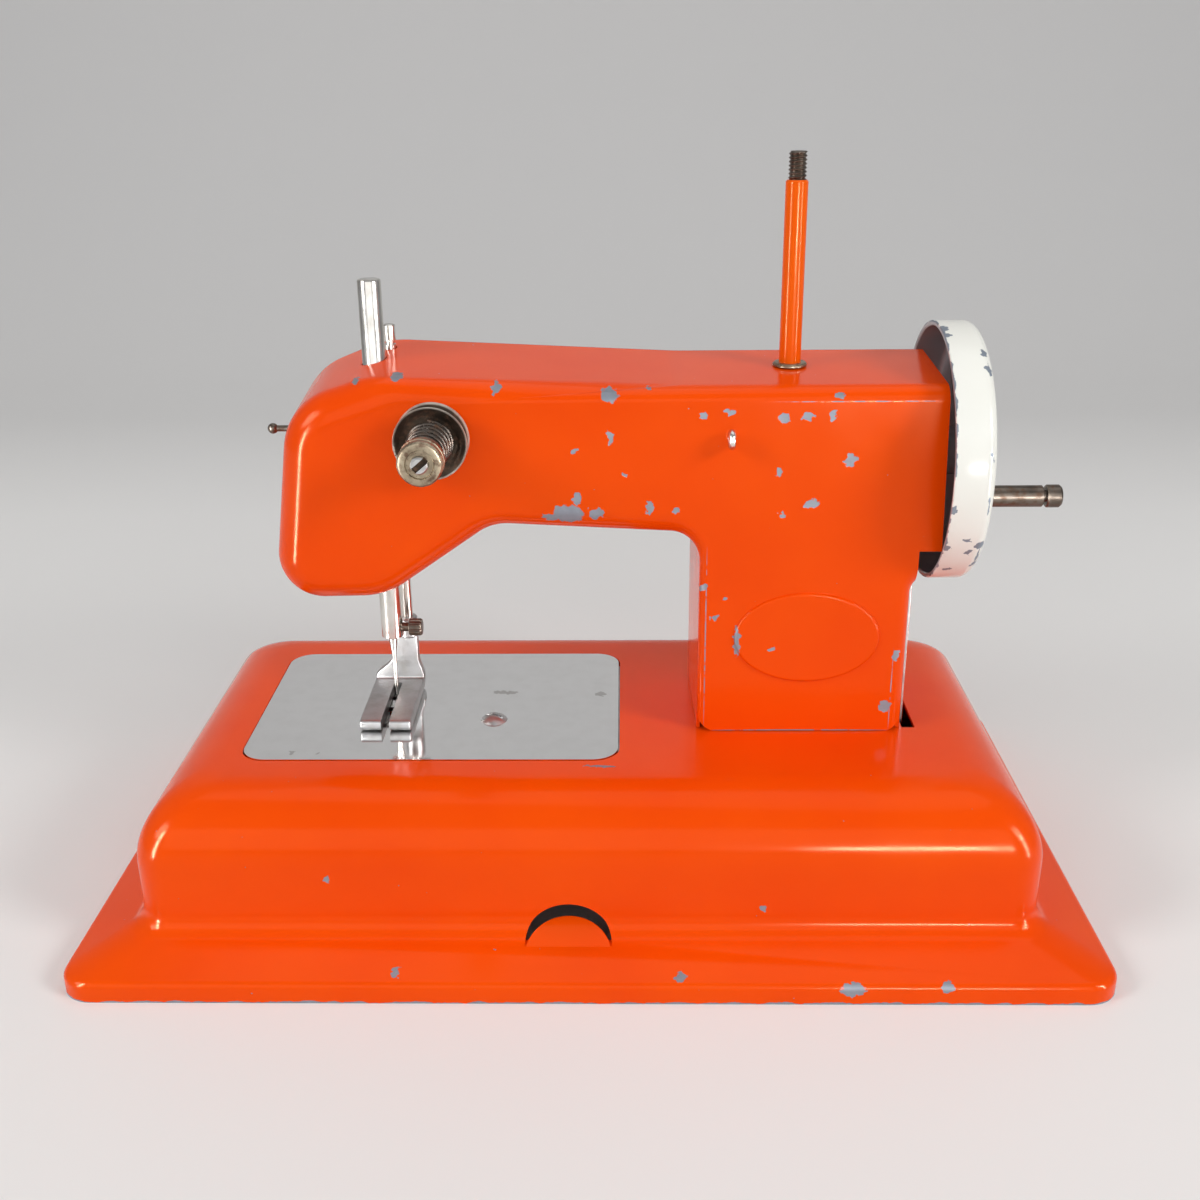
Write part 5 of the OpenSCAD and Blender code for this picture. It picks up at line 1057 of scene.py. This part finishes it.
def in_shaded_slot(face):
    x, y, z = face.center / MM
    return y > stud_front + 0.2 and math.hypot(x - TENSION_X, z - TENSION_Z) < ROD_RADIUS - 0.3


# Painted shade: the faces inside the slot take the dark disc metal so that the slot reads dark
paint_faces(tension_rod, disc_stain_and_slot_shade, in_shaded_slot)
show(tension_rod, "machine", "plain_steel", "tension_stud")


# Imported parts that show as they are, with their edges broken

BROKEN_EDGE = 0.12
slots = {s["node"]: s["material_slot"] for s in frame["record"]["subparts"]}
for name, obj in frame["nodes"].items():
    if name in replaced:
        continue
    obj.data.materials.clear()
    obj.data.materials.append(PAINTS[slots[name]])
    soften(obj, BROKEN_EDGE, 2)


# Floor that sweeps up behind the machine, in millimetres, painted darker towards the back as painted shade

SWEEP_FRONT, SWEEP_BACK, SWEEP_RADIUS, SWEEP_TOP, SWEEP_HALF = -1600, 500, 350, 1800, 2200
NEAR_TONES, SHADED_FAR_TONE = ((0.80, 0.79, 0.77), (0.84, 0.83, 0.81)), (0.56, 0.555, 0.55)
floor_paint, floor_tree, floor_shader = new_material("floor")
floor_place = object_place(floor_tree)
# Painted shade: the sweep darkens from 0.3 m to 1 m back, as if less light reached it
far_shade_share = band(floor_tree, place_along(floor_tree, floor_place, "Y"), 0.3, 1.0)
near_tone = mix_colour(floor_tree, noise(floor_tree, floor_place, scale=3.0), *NEAR_TONES)
feed(floor_tree, floor_shader, {
    "Base Color": mix_colour(floor_tree, far_shade_share, near_tone, SHADED_FAR_TONE),
    "Roughness": 0.8,
    "Specular IOR Level": 0.0,
})
sweep = [
    (SWEEP_FRONT, 0), *arc((SWEEP_BACK, SWEEP_RADIUS), SWEEP_RADIUS, -90, 0, 9),
    (SWEEP_BACK + SWEEP_RADIUS, SWEEP_TOP),
]
count = len(sweep)
floor_points = [(x, y, z) for x in (-SWEEP_HALF, SWEEP_HALF) for y, z in sweep]
floor_faces = [(i, count + i, count + i + 1, i + 1) for i in range(count - 1)]
floor = add_mesh("floor", floor_points, floor_faces, floor_paint)


# Lamps: name, place, height of the point that it faces, size and power

LAMPS = [
    ("left softbox", (-0.85, -0.45, 0.6), 0.06, (0.35, 0.35), 4.2),
    ("left glint", (-0.24, -0.18, 0.09), 0.09, (0.028, 0.16), 1.0),
    ("right glint", (0.31, -0.18, 0.09), 0.09, (0.02, 0.16), 0.7),
    ("low glint", (0.2, -0.52, 0.11), 0.09, (0.12, 0.03), 1.2),
    ("right softbox", (0.8, -0.5, 0.55), 0.06, (0.3, 0.3), 4.6),
    ("front fill", (0.0, -1.5, 0.7), 0.05, (1.8, 1.0), 6.9),
    ("top softbox", (0.05, 0.1, 0.95), 0.0, (0.9, 0.6), 1.5),
]
# Lamps that show only in reflections
GLINTS = ("left glint", "right glint", "low glint")
for name, place, aim_height, size, power in LAMPS:
    data = bpy.data.lights.new(name, "AREA")
    data.shape = "RECTANGLE"
    data.size, data.size_y = size
    data.energy = power
    lamp = bpy.data.objects.new(name, data)
    scene.collection.objects.link(lamp)
    aim = Vector((0, 0, aim_height)) - Vector(place)
    lamp.matrix_world = Matrix.Translation(place) @ aim.to_track_quat("-Z", "Y").to_matrix().to_4x4()
    lamp.visible_diffuse = name not in GLINTS
    lamp.visible_camera = False
scene.world = bpy.data.worlds.new("studio")
scene.world.use_nodes = True
sky = scene.world.node_tree.nodes["Background"]
feed(scene.world.node_tree, sky, {"Color": (0.95, 0.96, 1.0, 1), "Strength": 0.28})


# Camera as in the photograph: place, turns in radians, lens and sensor in millimetres

CAMERA_PLACE = Vector((9.07, -339.1, 206.23)) * MM
PITCH, YAW, ROLL = 0.3744, -0.0188, -0.0094
FOCAL, SENSOR = 41.54, 36.0
forward = Vector((math.sin(YAW) * math.cos(PITCH), math.cos(YAW) * math.cos(PITCH), -math.sin(PITCH)))
right = Vector((math.cos(YAW), -math.sin(YAW), 0))
up = right.cross(forward)
rolled_right = right * math.cos(ROLL) + up * math.sin(ROLL)
rolled_up = up * math.cos(ROLL) - right * math.sin(ROLL)
camera_data = bpy.data.cameras.new("camera")
camera_data.lens, camera_data.sensor_width = FOCAL, SENSOR
camera = bpy.data.objects.new("camera", camera_data)
scene.collection.objects.link(camera)
camera_turn = Matrix((rolled_right, rolled_up, -forward)).transposed().to_4x4()
camera.matrix_world = Matrix.Translation(CAMERA_PLACE) @ camera_turn
scene.camera = camera
scene.view_settings.view_transform = "Standard"
